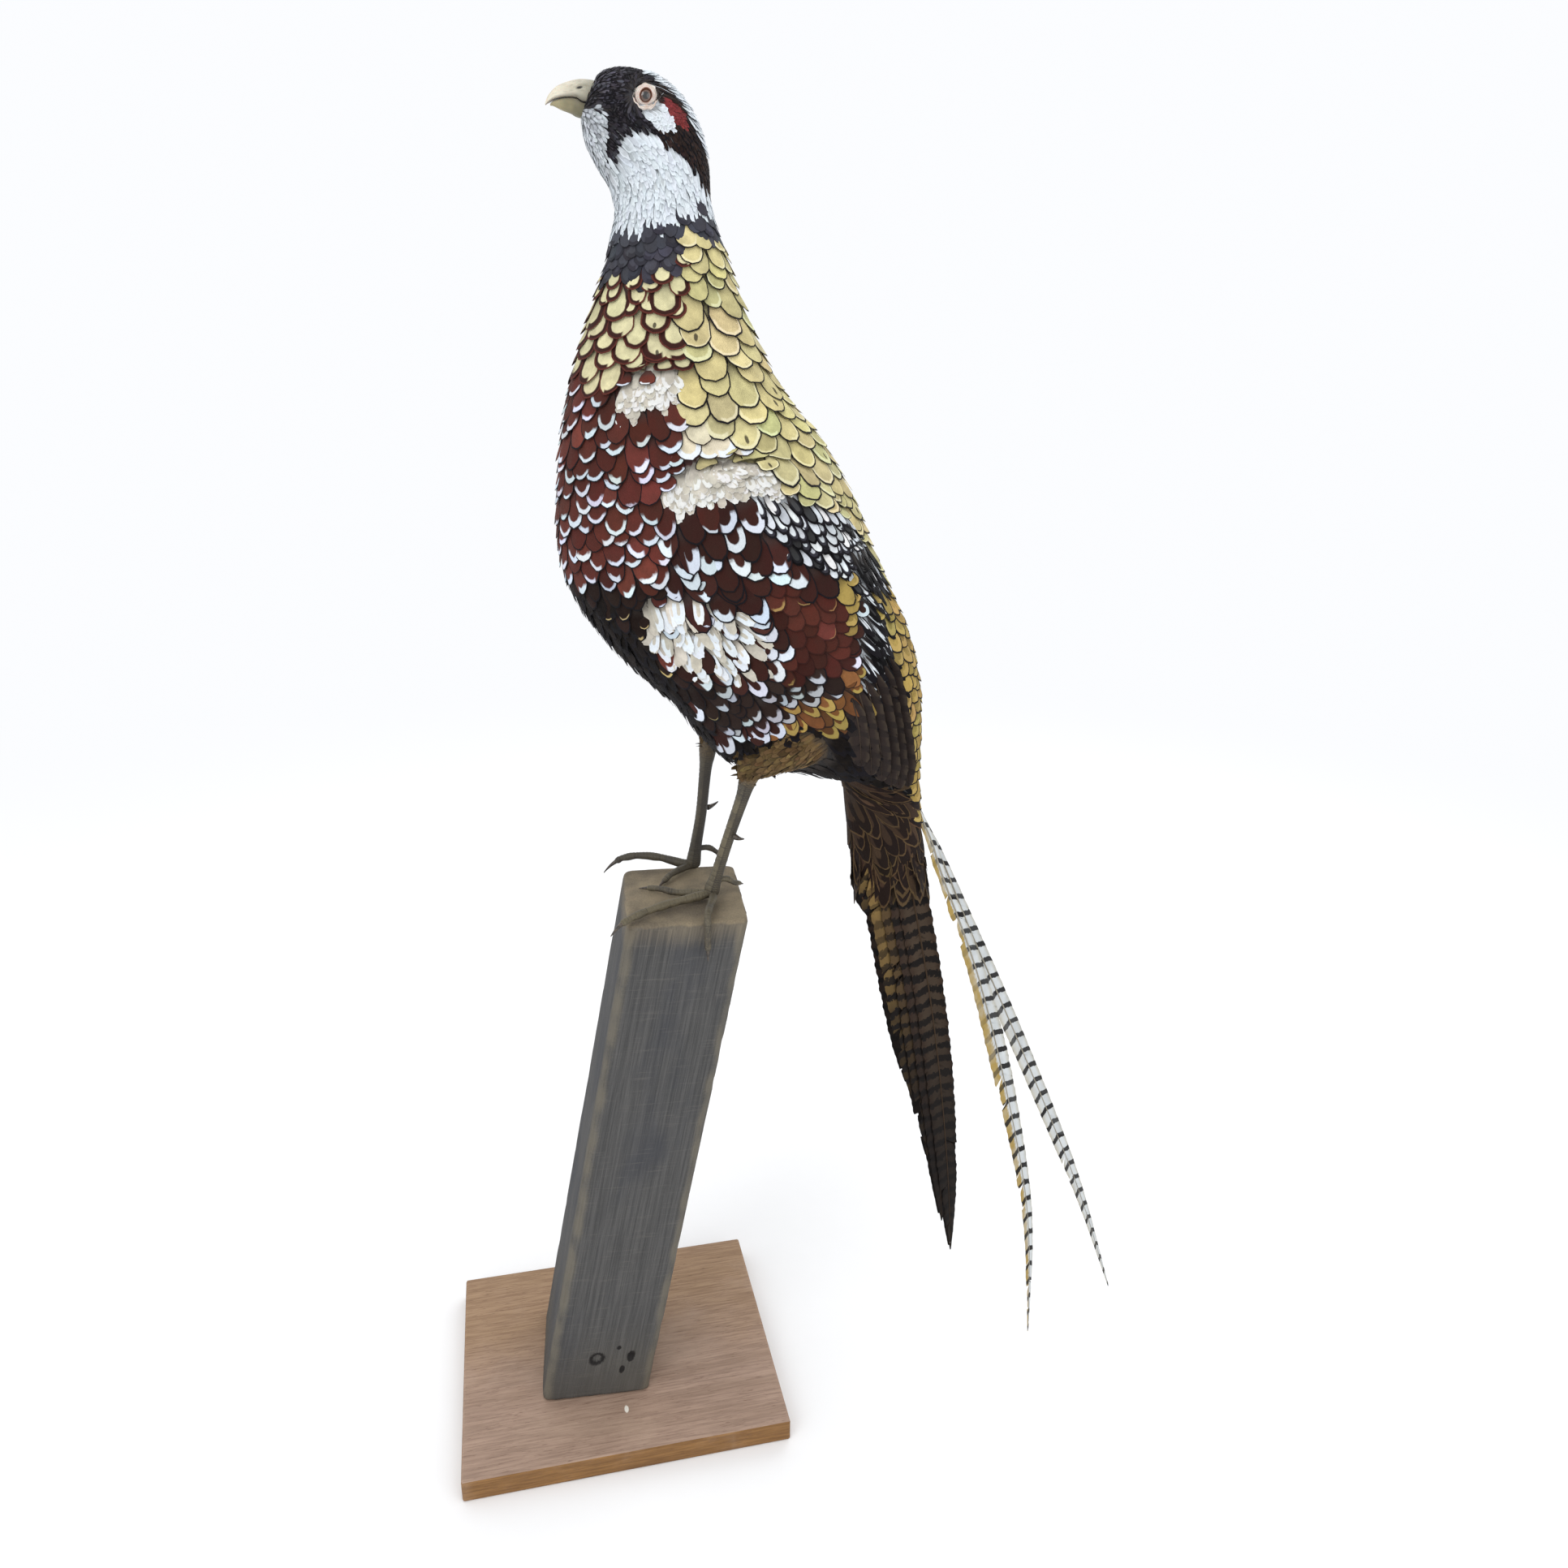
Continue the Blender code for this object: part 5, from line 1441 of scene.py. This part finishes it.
def barred_material(name, ground, edge, bar, shaft, dark, front, period, bar_share, chevron, front_clear=0.0,
                    tip_dark=0.0, blur=0.25, wander=1.0):
    """Bars across a feather, whose front vane and dark feathers have colours of their own."""
    material, net, shader = new_material(name, {"Roughness": 0.6, "Sheen Weight": 0.02,
                                                "Specular IOR Level": 0.1})
    where = object_place(net)
    reach, across, shade = net.attribute("reach"), net.attribute("across"), net.attribute("shade")
    rag = net.noise(where, 420.0, 3.0) - 0.5
    cloud = net.noise(where, 60.0, 3.0)
    strayed = (rag * 2.4 + cloud * 3.0) * wander
    wave = ((reach + abs(across) * chevron + strayed) * (2 * math.pi / period)).sine()
    cut = math.cos(math.pi * bar_share)
    bars = wave.ramp(cut - blur, cut + blur)
    colour = net.mix((abs(across) + rag * 0.3).ramp(0.5, 0.95), ground, edge)
    colour = net.mix(cloud.ramp(0.4, 0.7) * 0.35, colour, tuple(c * 0.6 for c in ground))
    colour = net.mix(net.attribute("dim") * (0.8 + rag * 0.8), colour, dark)
    leading = (across + rag * 0.6).ramp(0.12, 0.45) * net.attribute("front")
    colour = net.mix(leading * (0.6 + cloud.ramp(0.3, 0.6) * 0.4), colour, front)
    tip = net.attribute("tip")
    clear = leading * front_clear * (1 - tip.ramp(0.35, 0.6))
    colour = net.mix(bars * (0.92 + shade * 0.08) * (1 - clear), colour, bar)
    colour = net.mix(tip.ramp(0.25, 0.85) * tip_dark, colour, bar)
    colour = net.mix(net.attribute("shaft"), colour, shaft)
    fine = (reach * 9.0 + abs(across) * 30.0 + rag * 2.0).sine()
    light = 0.97 + shade * 0.06 + fine * 0.03
    feed(net, shader, Base_Color=net.shaded(colour, light), Normal=net.bump(fine + rag * 2.0, 0.15, 0.00015))
    return material


# Flight feathers of a folded wing: root and tip in Y and Z, half width, and how far off the skin at each end.
FLIGHT_FEATHERS = [
    ((173, 546), (197, 454), 8.5, 0.6, 4.2),
    ((168, 543), (191, 454), 8.5, 0.9, 4.7),
    ((163, 539), (185, 457), 8.5, 1.2, 5.1),
    ((158, 534), (178, 461), 8.0, 1.5, 5.4),
    ((154, 529), (170, 467), 7.5, 1.8, 5.6),
    ((151, 523), (162, 475), 7.0, 2.0, 5.6),
]
FLIGHT_STEPS, FLIGHT_BOW = 26, 6


def flight_quills(sign, tree):
    """The flight feathers of one wing, laid over the side of the body, in the bird's frame."""
    quills = []
    for number, (root, tip, half, off_root, off_tip) in enumerate(FLIGHT_FEATHERS):
        share = np.linspace(0, 1, FLIGHT_STEPS)
        y = root[0] + (tip[0] - root[0]) * share + FLIGHT_BOW * share * (1 - share)
        z = root[1] + (tip[1] - root[1]) * share
        x = np.array([skin_x(tree, sign, a, b) for a, b in zip(y, z)])
        x = settled(np.maximum(x, 17), 8) + off_root + (off_tip - off_root) * share
        path = np.column_stack([sign * x, y, z])
        run = unit(np.gradient(path, axis=0))
        side = unit(np.cross(run, (sign, -0.35, 0)))
        width = half * np.minimum(np.sqrt(share / 0.12).clip(0, 1), np.sqrt(((1 - share) / 0.22).clip(0, 1)))
        quills.append(quill(path, side * sign, np.column_stack([width * 0.75, width]).clip(0.4), 300 + number,
                            lean=0.6, splits=0.12, ragged=0.03, shaft=0.6))
    return quills


# ---- stand ------------------------------------------------------------------------------------------------
POST_FOOT, POST_HEAD, BOARD_TOP, POST_HEIGHT = (4.0, -15.0), (11.0, 56.0), 16.4, 383.0
POST_HALF = (45.0, 38.0)
NAIL_DEPTH = 2.2
# Nail holes: place across and up, and radius.
NAILS = [(-4.6, 50.5, 3.2), (19.0, 50.0, 2.2)]
# Dark stains of nails and knots: place across and up, half breadth and height, and whether it is a ring.
MARKS = [(-4.6, 50.5, 5.2, 5.2, True), (19.0, 50.0, 2.6, 4.6, False), (9.4, 58.6, 1.5, 1.7, False),
         (14.4, 39.0, 1.8, 3.2, False)]
# Cracks: the face's axis, place across it, from and to which height, and depth.
CRACKS = [(0, 11.0, 90, 190, 0.5), (0, -20.0, 190, 320, 0.4), (0, 27.0, 280, 372, 0.5), (1, 8.0, 40, 180, 0.9),
          (1, -14.0, 200, 360, 0.9)]


def timber_place(here):
    """Across, along the post's breadth and up it, from its own leaning middle line."""
    share = ((here[:, 2] - BOARD_TOP) / (POST_HEIGHT - BOARD_TOP))[:, None]
    middle = np.array(POST_FOOT) + (np.array(POST_HEAD) - np.array(POST_FOOT)) * share
    return np.column_stack([here[:, :2] - middle, here[:, 2]])


def make_post(voxel):
    """The timber post with its grain, worn corners, cracks and nail holes sunk into its faces."""
    post = remeshed("weathered_post", ["stand_post"], voxel)
    mesh = post.data
    place, normal = coordinates(mesh), coordinates(mesh, True)
    here = to_bird(place)
    own = timber_place(here)
    facing = normal @ TURN
    sunk, wear = np.zeros(len(own)), np.zeros(len(own))
    for number, (u, v, z) in enumerate(own):
        grain = noise.noise(Vector((u / 3.2, v / 3.2, z / 120)))
        wave = noise.noise(Vector((u / 30, v / 30, z / 60 + 7)))
        chew = noise.noise(Vector((u / 9, v / 9, z / 16 + 31)))
        sunk[number] = 0.35 * abs(grain) + 0.25 * (wave + 1)
        wear[number] = chew
    corner = np.exp(-((POST_HALF[0] - 3 - np.abs(own[:, 0])).clip(0) / 5) ** 2
                    - ((POST_HALF[1] - 3 - np.abs(own[:, 1])).clip(0) / 5) ** 2)
    sunk += corner * (0.5 + 1.5 * wear.clip(0, 1))
    crack = np.zeros(len(own))
    for axis, across, low, high, depth in CRACKS:
        flat = (facing[:, axis] > 0.8) & (own[:, 2] > low) & (own[:, 2] < high)
        wobble = across + 1.6 * np.sin(own[:, 2] / 23 + across)
        fade = np.sin(math.pi * ((own[:, 2] - low) / (high - low)).clip(0, 1))
        crack += flat * fade * np.exp(-(((own[:, 1 - axis] - wobble) / 1.3) ** 2)) * depth
    hole = np.zeros(len(own))
    for v, z, radius in NAILS:
        away = np.hypot(own[:, 1] - v, own[:, 2] - z) / radius
        hole += (facing[:, 0] > 0.8) * np.exp(-(away**4))
    sunk += crack + hole * NAIL_DEPTH
    standing = (facing[:, 2] > 0.7) | (facing[:, 2] < -0.7)
    sunk = np.where(standing, sunk * 0.25, sunk)
    mesh.vertices.foreach_set("co", (place - normal * sunk[:, None] * MM).astype(np.float32).ravel())
    mesh.update()
    mesh.shade_smooth()
    write(mesh, "timber", "FLOAT_VECTOR", own)
    write(mesh, "worn", "FLOAT", (corner * (0.75 + 0.5 * wear)).clip(0, 1))
    # How deep each crack is, for the painted shade in it.
    write(mesh, "sunk", "FLOAT", (crack * 0.5).clip(0, 1))
    write(mesh, "top", "FLOAT", (facing[:, 2] > 0.6).astype(float))
    return post


def post_material():
    """Grey weathered timber with fine grain up the post, browner at its edges and top, with painted shade in its
    cracks.
    """
    material, net, shader = new_material("weathered_timber", {"Specular IOR Level": 0.2})
    timber = net.attribute("timber", "Vector")
    grain = net.noise(net.scaled(timber, (0.9, 0.9, 0.016)), 1.0, 6.0, 0.65)
    fibre = net.noise(net.scaled(timber, (3.2, 3.2, 0.05)), 1.0, 4.0, 0.6)
    saw = net.noise(net.scaled(timber, (0.05, 0.05, 0.9)), 1.0, 3.0)
    cloud = net.noise(net.scaled(timber, (0.03, 0.03, 0.012)), 1.0, 4.0)
    speck = net.noise(timber, 0.8, 3.0)
    parts = net.split(timber)
    height = parts.out("Z")
    colour = net.mix(grain.ramp(0.3, 0.7), tone(67, 67, 67), tone(91, 90, 89))
    colour = net.mix(cloud.ramp(0.42, 0.68) * 0.6, colour, tone(60, 62, 68))
    colour = net.mix(fibre.ramp(0.52, 0.75) * 0.5, colour, tone(52, 50, 47))
    colour = net.mix(saw.ramp(0.55, 0.75) * 0.25, colour, tone(116, 112, 106))
    low = 1 - (height + speck * 40.0).ramp(40.0, 110.0)
    colour = net.mix(low * 0.35, colour, tone(100, 94, 82))
    worn = net.attribute("worn")
    colour = net.mix((worn + (speck - 0.5) * 0.5).ramp(0.2, 0.9) * 0.55, colour, tone(122, 115, 100))
    bleached = cloud.ramp(0.35, 0.65) * 0.7 + grain.ramp(0.35, 0.7) * 0.3
    top = net.mix(bleached, tone(104, 95, 82), tone(152, 138, 113))
    near_top = (height + (grain - 0.5) * 16.0).ramp(364.0, 381.0)
    colour = net.mix(near_top * 0.5, colour, top)
    colour = net.mix(net.attribute("top"), colour, top)
    # Painted shade in the cracks.
    colour = net.mix(net.attribute("sunk").ramp(0.1, 0.7) * 0.85, colour, tone(24, 21, 19))
    front = parts.out("X").ramp(30.0, 34.0)
    for v, z, wide, high, hollow in MARKS:
        away = net.distance(net.scaled(timber, (0.0, 1 / wide, 1 / high)), (0.0, v / wide, z / high))
        away = away + (speck - 0.5) * 0.5
        dark = (1 - away.ramp(0.85, 1.25)) * (away.ramp(0.35, 0.7) if hollow else 1.0)
        colour = net.mix(dark * front * 0.9, colour, tone(24, 22, 22))
    feed(net, shader, Base_Color=colour, Roughness=0.78 + fibre * 0.15,
         Normal=net.bump(grain * 1.5 + fibre + saw * 0.3, 0.55, 0.0006))
    return material


# The chip on the board: its middle in metres, and how much longer it is across the board than along it.
CHIP_AT, CHIP_LONG = (0.0584, 0.0009, 0.0164), 2.2


def board_material():
    """Reddish brown board: long grain on top, closer and paler on the edges, with one small pale chip."""
    material, net, shader = new_material("board_timber", {"Specular IOR Level": 0.3})
    where = object_place(net)
    grain = net.noise(net.scaled(where, (620.0, 34.0, 620.0)), 1.0, 6.0, 0.6)
    figure = net.noise(net.scaled(where, (60.0, 7.0, 60.0)), 1.0, 4.0, 0.55, 0.4)
    pore = net.noise(net.scaled(where, (1500.0, 130.0, 1500.0)), 1.0, 2.0)
    dirt = net.noise(where, 22.0, 5.0)
    facing = net.split(net.add("ShaderNodeNewGeometry", out="Normal")).out("Z")
    top = net.mix(grain.ramp(0.3, 0.7), tone(140, 116, 100), tone(168, 142, 124))
    top = net.mix(figure.ramp(0.45, 0.7) * 0.4, top, tone(126, 102, 84))
    far = net.split(where).out("X") + (dirt - 0.5) * 0.08
    yellow = net.mix(grain.ramp(0.3, 0.7), tone(132, 100, 66), tone(158, 128, 90))
    top = net.mix((1 - far.ramp(-0.06, 0.05)) * 0.6, top, yellow)
    edge = net.mix(grain.ramp(0.3, 0.7), tone(112, 78, 42), tone(142, 104, 60))
    edge = net.mix(figure.ramp(0.5, 0.7) * 0.5, edge, tone(90, 60, 34))
    colour = net.mix(abs(facing).ramp(0.5, 0.8), edge, top)
    colour = net.mix(pore.ramp(0.6, 0.72) * 0.5, colour, tone(88, 56, 42))
    colour = net.mix(dirt.ramp(0.5, 0.75) * 0.35, colour, tone(176, 152, 132))
    x, y, z = CHIP_AT
    away = net.distance(net.scaled(where, (1.0, CHIP_LONG, 1.0)), (x, y * CHIP_LONG, z))
    colour = net.mix(1 - (away + (pore - 0.5) * 0.002).ramp(0.0026, 0.0036), colour, tone(226, 220, 208))
    feed(net, shader, Base_Color=colour, Roughness=0.5 + grain * 0.2,
         Normal=net.bump(grain + pore, 0.3, 0.0004))
    return material


# ---- operators --------------------------------------------------------------------------------------------
class PheasantSettings(bpy.types.PropertyGroup):
    skin_voxel: FloatProperty(name="Skin detail", description="Size of the cells the skin is made from",
                              default=2.2 * MM, unit="LENGTH")
    post_voxel: FloatProperty(name="Post detail", description="Size of the cells the post is made from",
                              default=2.0 * MM, unit="LENGTH")
    roots: IntProperty(name="Root tries", description="How many places are tried for feathers", default=200000)
    floor_colour: FloatVectorProperty(name="Floor", description="Colour of the paper floor", subtype="COLOR",
                                      default=(0.9, 0.9, 0.9))
    sky: FloatVectorProperty(name="Surroundings", description="Colour of the light all round", subtype="COLOR",
                             default=(0.97, 0.98, 1.0))
    sky_strength: FloatProperty(name="Surroundings strength", description="How bright the light all round is",
                                default=1.0)


def settings():
    return bpy.context.scene.pheasant


def skin_tree():
    bpy.context.view_layer.update()
    return BVHTree.FromObject(bpy.data.objects["skin"], bpy.context.evaluated_depsgraph_get())


class PHEASANT_OT_stage(bpy.types.Operator):
    """Makes the camera, the soft lights and the pale floor"""

    bl_idname = "pheasant.stage"
    bl_label = "Stage"

    def execute(self, context):
        make_stage(settings().floor_colour, settings().sky, settings().sky_strength)
        return {"FINISHED"}


class PHEASANT_OT_plumage(bpy.types.Operator):
    """Makes the skin and lays all body feathers on it"""

    bl_idname = "pheasant.plumage"
    bl_label = "Skin and plumage"

    def execute(self, context):
        skin = make_skin(settings().skin_voxel)
        finish_piece(skin, skin_material(), FLESH)
        plumage = Plumage(skin, settings().roots, 5)
        tree, material = coat_tree(), plumage_material()
        fine, broad = vane_set("fine_vane", 6, 0.3, 4), vane_set("broad_vane", 16, 0.06, 5)
        soft, downy = vane_set("soft_vane", 10, 0.4, 4), vane_set("downy_vane", 20, 0.14, 6)

        def piece(name, kinds, slot, vanes, **more):
            plumage.piece(name, kinds, slot, vanes, tree, skin, material, **more)

        piece("face_feathers", ["face", "patch", "wattle", "chin"], "plumage_head", fine, thickness=0.05,
              arch=0.1)
        piece("head_feathers", ["cap", "band"], "plumage_head", fine, thickness=0.05, arch=0.12)
        piece("throat_feathers", ["throat"], "plumage_neck", soft, thickness=0.06, arch=0.15)
        piece("collar_feathers", ["collar"], "plumage_neck", broad, arch=0.3)
        piece("mantle_feathers", ["mantle", "nape", "cream", "oval", "pearl"], "plumage_body", broad)
        piece("breast_feathers", ["breast", "umber", "bay"], "plumage_body", broad)
        piece("flank_feathers", ["flank", "fringe", "lower"], "plumage_body", broad)
        piece("down_feathers", ["down", "cluster"], "plumage_body", downy, thickness=0.08, arch=0.2)
        piece("wing_coverts", ["mottle", "streak"], "plumage_body", broad, arch=0.3)
        piece("rump_feathers", ["rump"], "plumage_rump", broad)
        piece("belly_feathers", ["belly"], "plumage_body", soft, thickness=0.08, arch=0.3)
        piece("thigh_feathers", ["thigh"], "plumage_leg", fine, thickness=0.06, arch=0.15)
        piece("tail_coverts_feathers", ["tailcover"], "tail_brown", broad, arch=0.4)
        return {"FINISHED"}


class PHEASANT_OT_head(bpy.types.Operator):
    """Makes the bill, the glass eyes and the bare rings round them"""

    bl_idname = "pheasant.head"
    bl_label = "Bill and eyes"

    def execute(self, context):
        horn, glass, lid, tree = bill_material(), eye_material(), lid_material(), skin_tree()
        for half, table, flat in (("upper", UPPER_BILL, True), ("lower", LOWER_BILL, False)):
            finish_piece(make_bill("horn_bill_" + half, table, flat), horn, ["bill_" + half])
        for side, sign in (("left", 1), ("right", -1)):
            finish_piece(make_eye(side, sign), glass, ["eye_" + side])
            finish_piece(make_lid(side, sign, tree), lid)
        return {"FINISHED"}


class PHEASANT_OT_feet(bpy.types.Operator):
    """Makes the scaled legs and toes, the claws and the spurs"""

    bl_idname = "pheasant.feet"
    bl_label = "Legs and claws"

    def execute(self, context):
        scaled, horn = leg_material(), claw_material()
        for side in SHANKS:
            leg, nodes = make_leg(side)
            finish_piece(leg, scaled, nodes)
            claws = ["spur_" + side] + [f"claw_{side}_{toe}" for toe in TOES[side]]
            finish_piece(refined("claws_" + side, claws), horn, claws)
        return {"FINISHED"}


class PHEASANT_OT_wings(bpy.types.Operator):
    """Makes the flight feathers of the folded wings"""

    bl_idname = "pheasant.wings"
    bl_label = "Flight feathers"

    def execute(self, context):
        material = barred_material(
            "flight_feather", ground=tone(44, 35, 32), edge=tone(60, 51, 42), bar=tone(37, 30, 28),
            shaft=tone(62, 51, 42), dark=tone(30, 25, 26), front=tone(98, 88, 62), period=12.0, bar_share=0.4,
            chevron=-2.0)
        tree = skin_tree()
        for side, sign in (("left", 1), ("right", -1)):
            feathers_object("flight_feathers_" + side, flight_quills(sign, tree), material,
                            place=to_world)
        return {"FINISHED"}


class PHEASANT_OT_tail(bpy.types.Operator):
    """Makes the barred tail feathers and the long middle pair"""

    bl_idname = "pheasant.tail"
    bl_label = "Tail"

    def execute(self, context):
        brown = barred_material(
            "brown_tail", ground=tone(66, 54, 43), edge=tone(54, 40, 30), bar=tone(15, 11, 10),
            shaft=tone(60, 46, 33), dark=tone(44, 30, 26), front=tone(124, 100, 58), period=11.5, bar_share=0.46,
            chevron=-2.5, front_clear=0.5, tip_dark=0.85, blur=0.3, wander=3.0)
        white = barred_material(
            "silver_tail", ground=tone(200, 204, 205), edge=tone(184, 182, 172), bar=tone(20, 17, 17),
            shaft=tone(150, 144, 130), dark=tone(150, 140, 116), front=tone(160, 136, 76), period=14.0,
            bar_share=0.3, chevron=-2.5, front_clear=0.75, blur=0.12)
        rise = [(-9, 37), (-6, 24), (-3, 12)]
        dims, fronts = (0.05, 0.5, 0.8, 0.5, 0.4), (0.0, 0.0, 0.3, 0.9, 1.0)
        nodes, quills = [], []
        for side in ("left", "right"):
            for number in range(5):
                nodes.append(f"tail_{side}_{number + 1}")
                quills.append(hanging_quill(nodes[-1], 400 + len(nodes), rise, dim=dims[number],
                                            front=fronts[number], splits=0.12 + 0.2 * (number > 2),
                                            ragged=0.03))
        feathers_object("tail_side_feathers", quills, brown, nodes)
        rise = [(-15, 30), (-9, 19), (-4, 9)]
        pair = [hanging_quill("tail_long_left", 500, rise, 5.5, splits=0.4, front=1.0, ragged=0.03),
                hanging_quill("tail_long_right", 501, rise, 5.5, splits=0.08, front=0.15)]
        feathers_object("tail_long_feathers", pair, white, ["tail_long_left", "tail_long_right"])
        return {"FINISHED"}


class PHEASANT_OT_stand(bpy.types.Operator):
    """Makes the weathered post and finishes the board"""

    bl_idname = "pheasant.stand"
    bl_label = "Post and board"

    def execute(self, context):
        finish_piece(make_post(settings().post_voxel), post_material(), ["stand_post"])
        board, finish = NODES["stand_board"], board_material()
        if not board.material_slots:
            board.data.materials.append(finish)
        for held in board.material_slots:
            held.material = finish
        return {"FINISHED"}


class PHEASANT_PT_panel(bpy.types.Panel):
    """Lists the steps that make the pheasant"""

    bl_idname = "PHEASANT_PT_panel"
    bl_label = "Mounted pheasant"
    bl_space_type = "VIEW_3D"
    bl_region_type = "UI"
    bl_category = "Pheasant"

    def draw(self, context):
        for step in STEPS:
            self.layout.operator(step.bl_idname)
        for name in PheasantSettings.__annotations__:
            self.layout.prop(settings(), name)


STEPS = [PHEASANT_OT_stage, PHEASANT_OT_plumage, PHEASANT_OT_head, PHEASANT_OT_feet, PHEASANT_OT_wings,
         PHEASANT_OT_tail, PHEASANT_OT_stand]
CLASSES = [PheasantSettings, *STEPS, PHEASANT_PT_panel]


def register():
    for item in CLASSES:
        bpy.utils.register_class(item)
    bpy.types.Scene.pheasant = PointerProperty(type=PheasantSettings)


def unregister():
    del bpy.types.Scene.pheasant
    for item in reversed(CLASSES):
        bpy.utils.unregister_class(item)


def main():
    register()
    for step in STEPS:
        group, name = step.bl_idname.split(".")
        getattr(getattr(bpy.ops, group), name)()


if __name__ == "__main__":
    main()
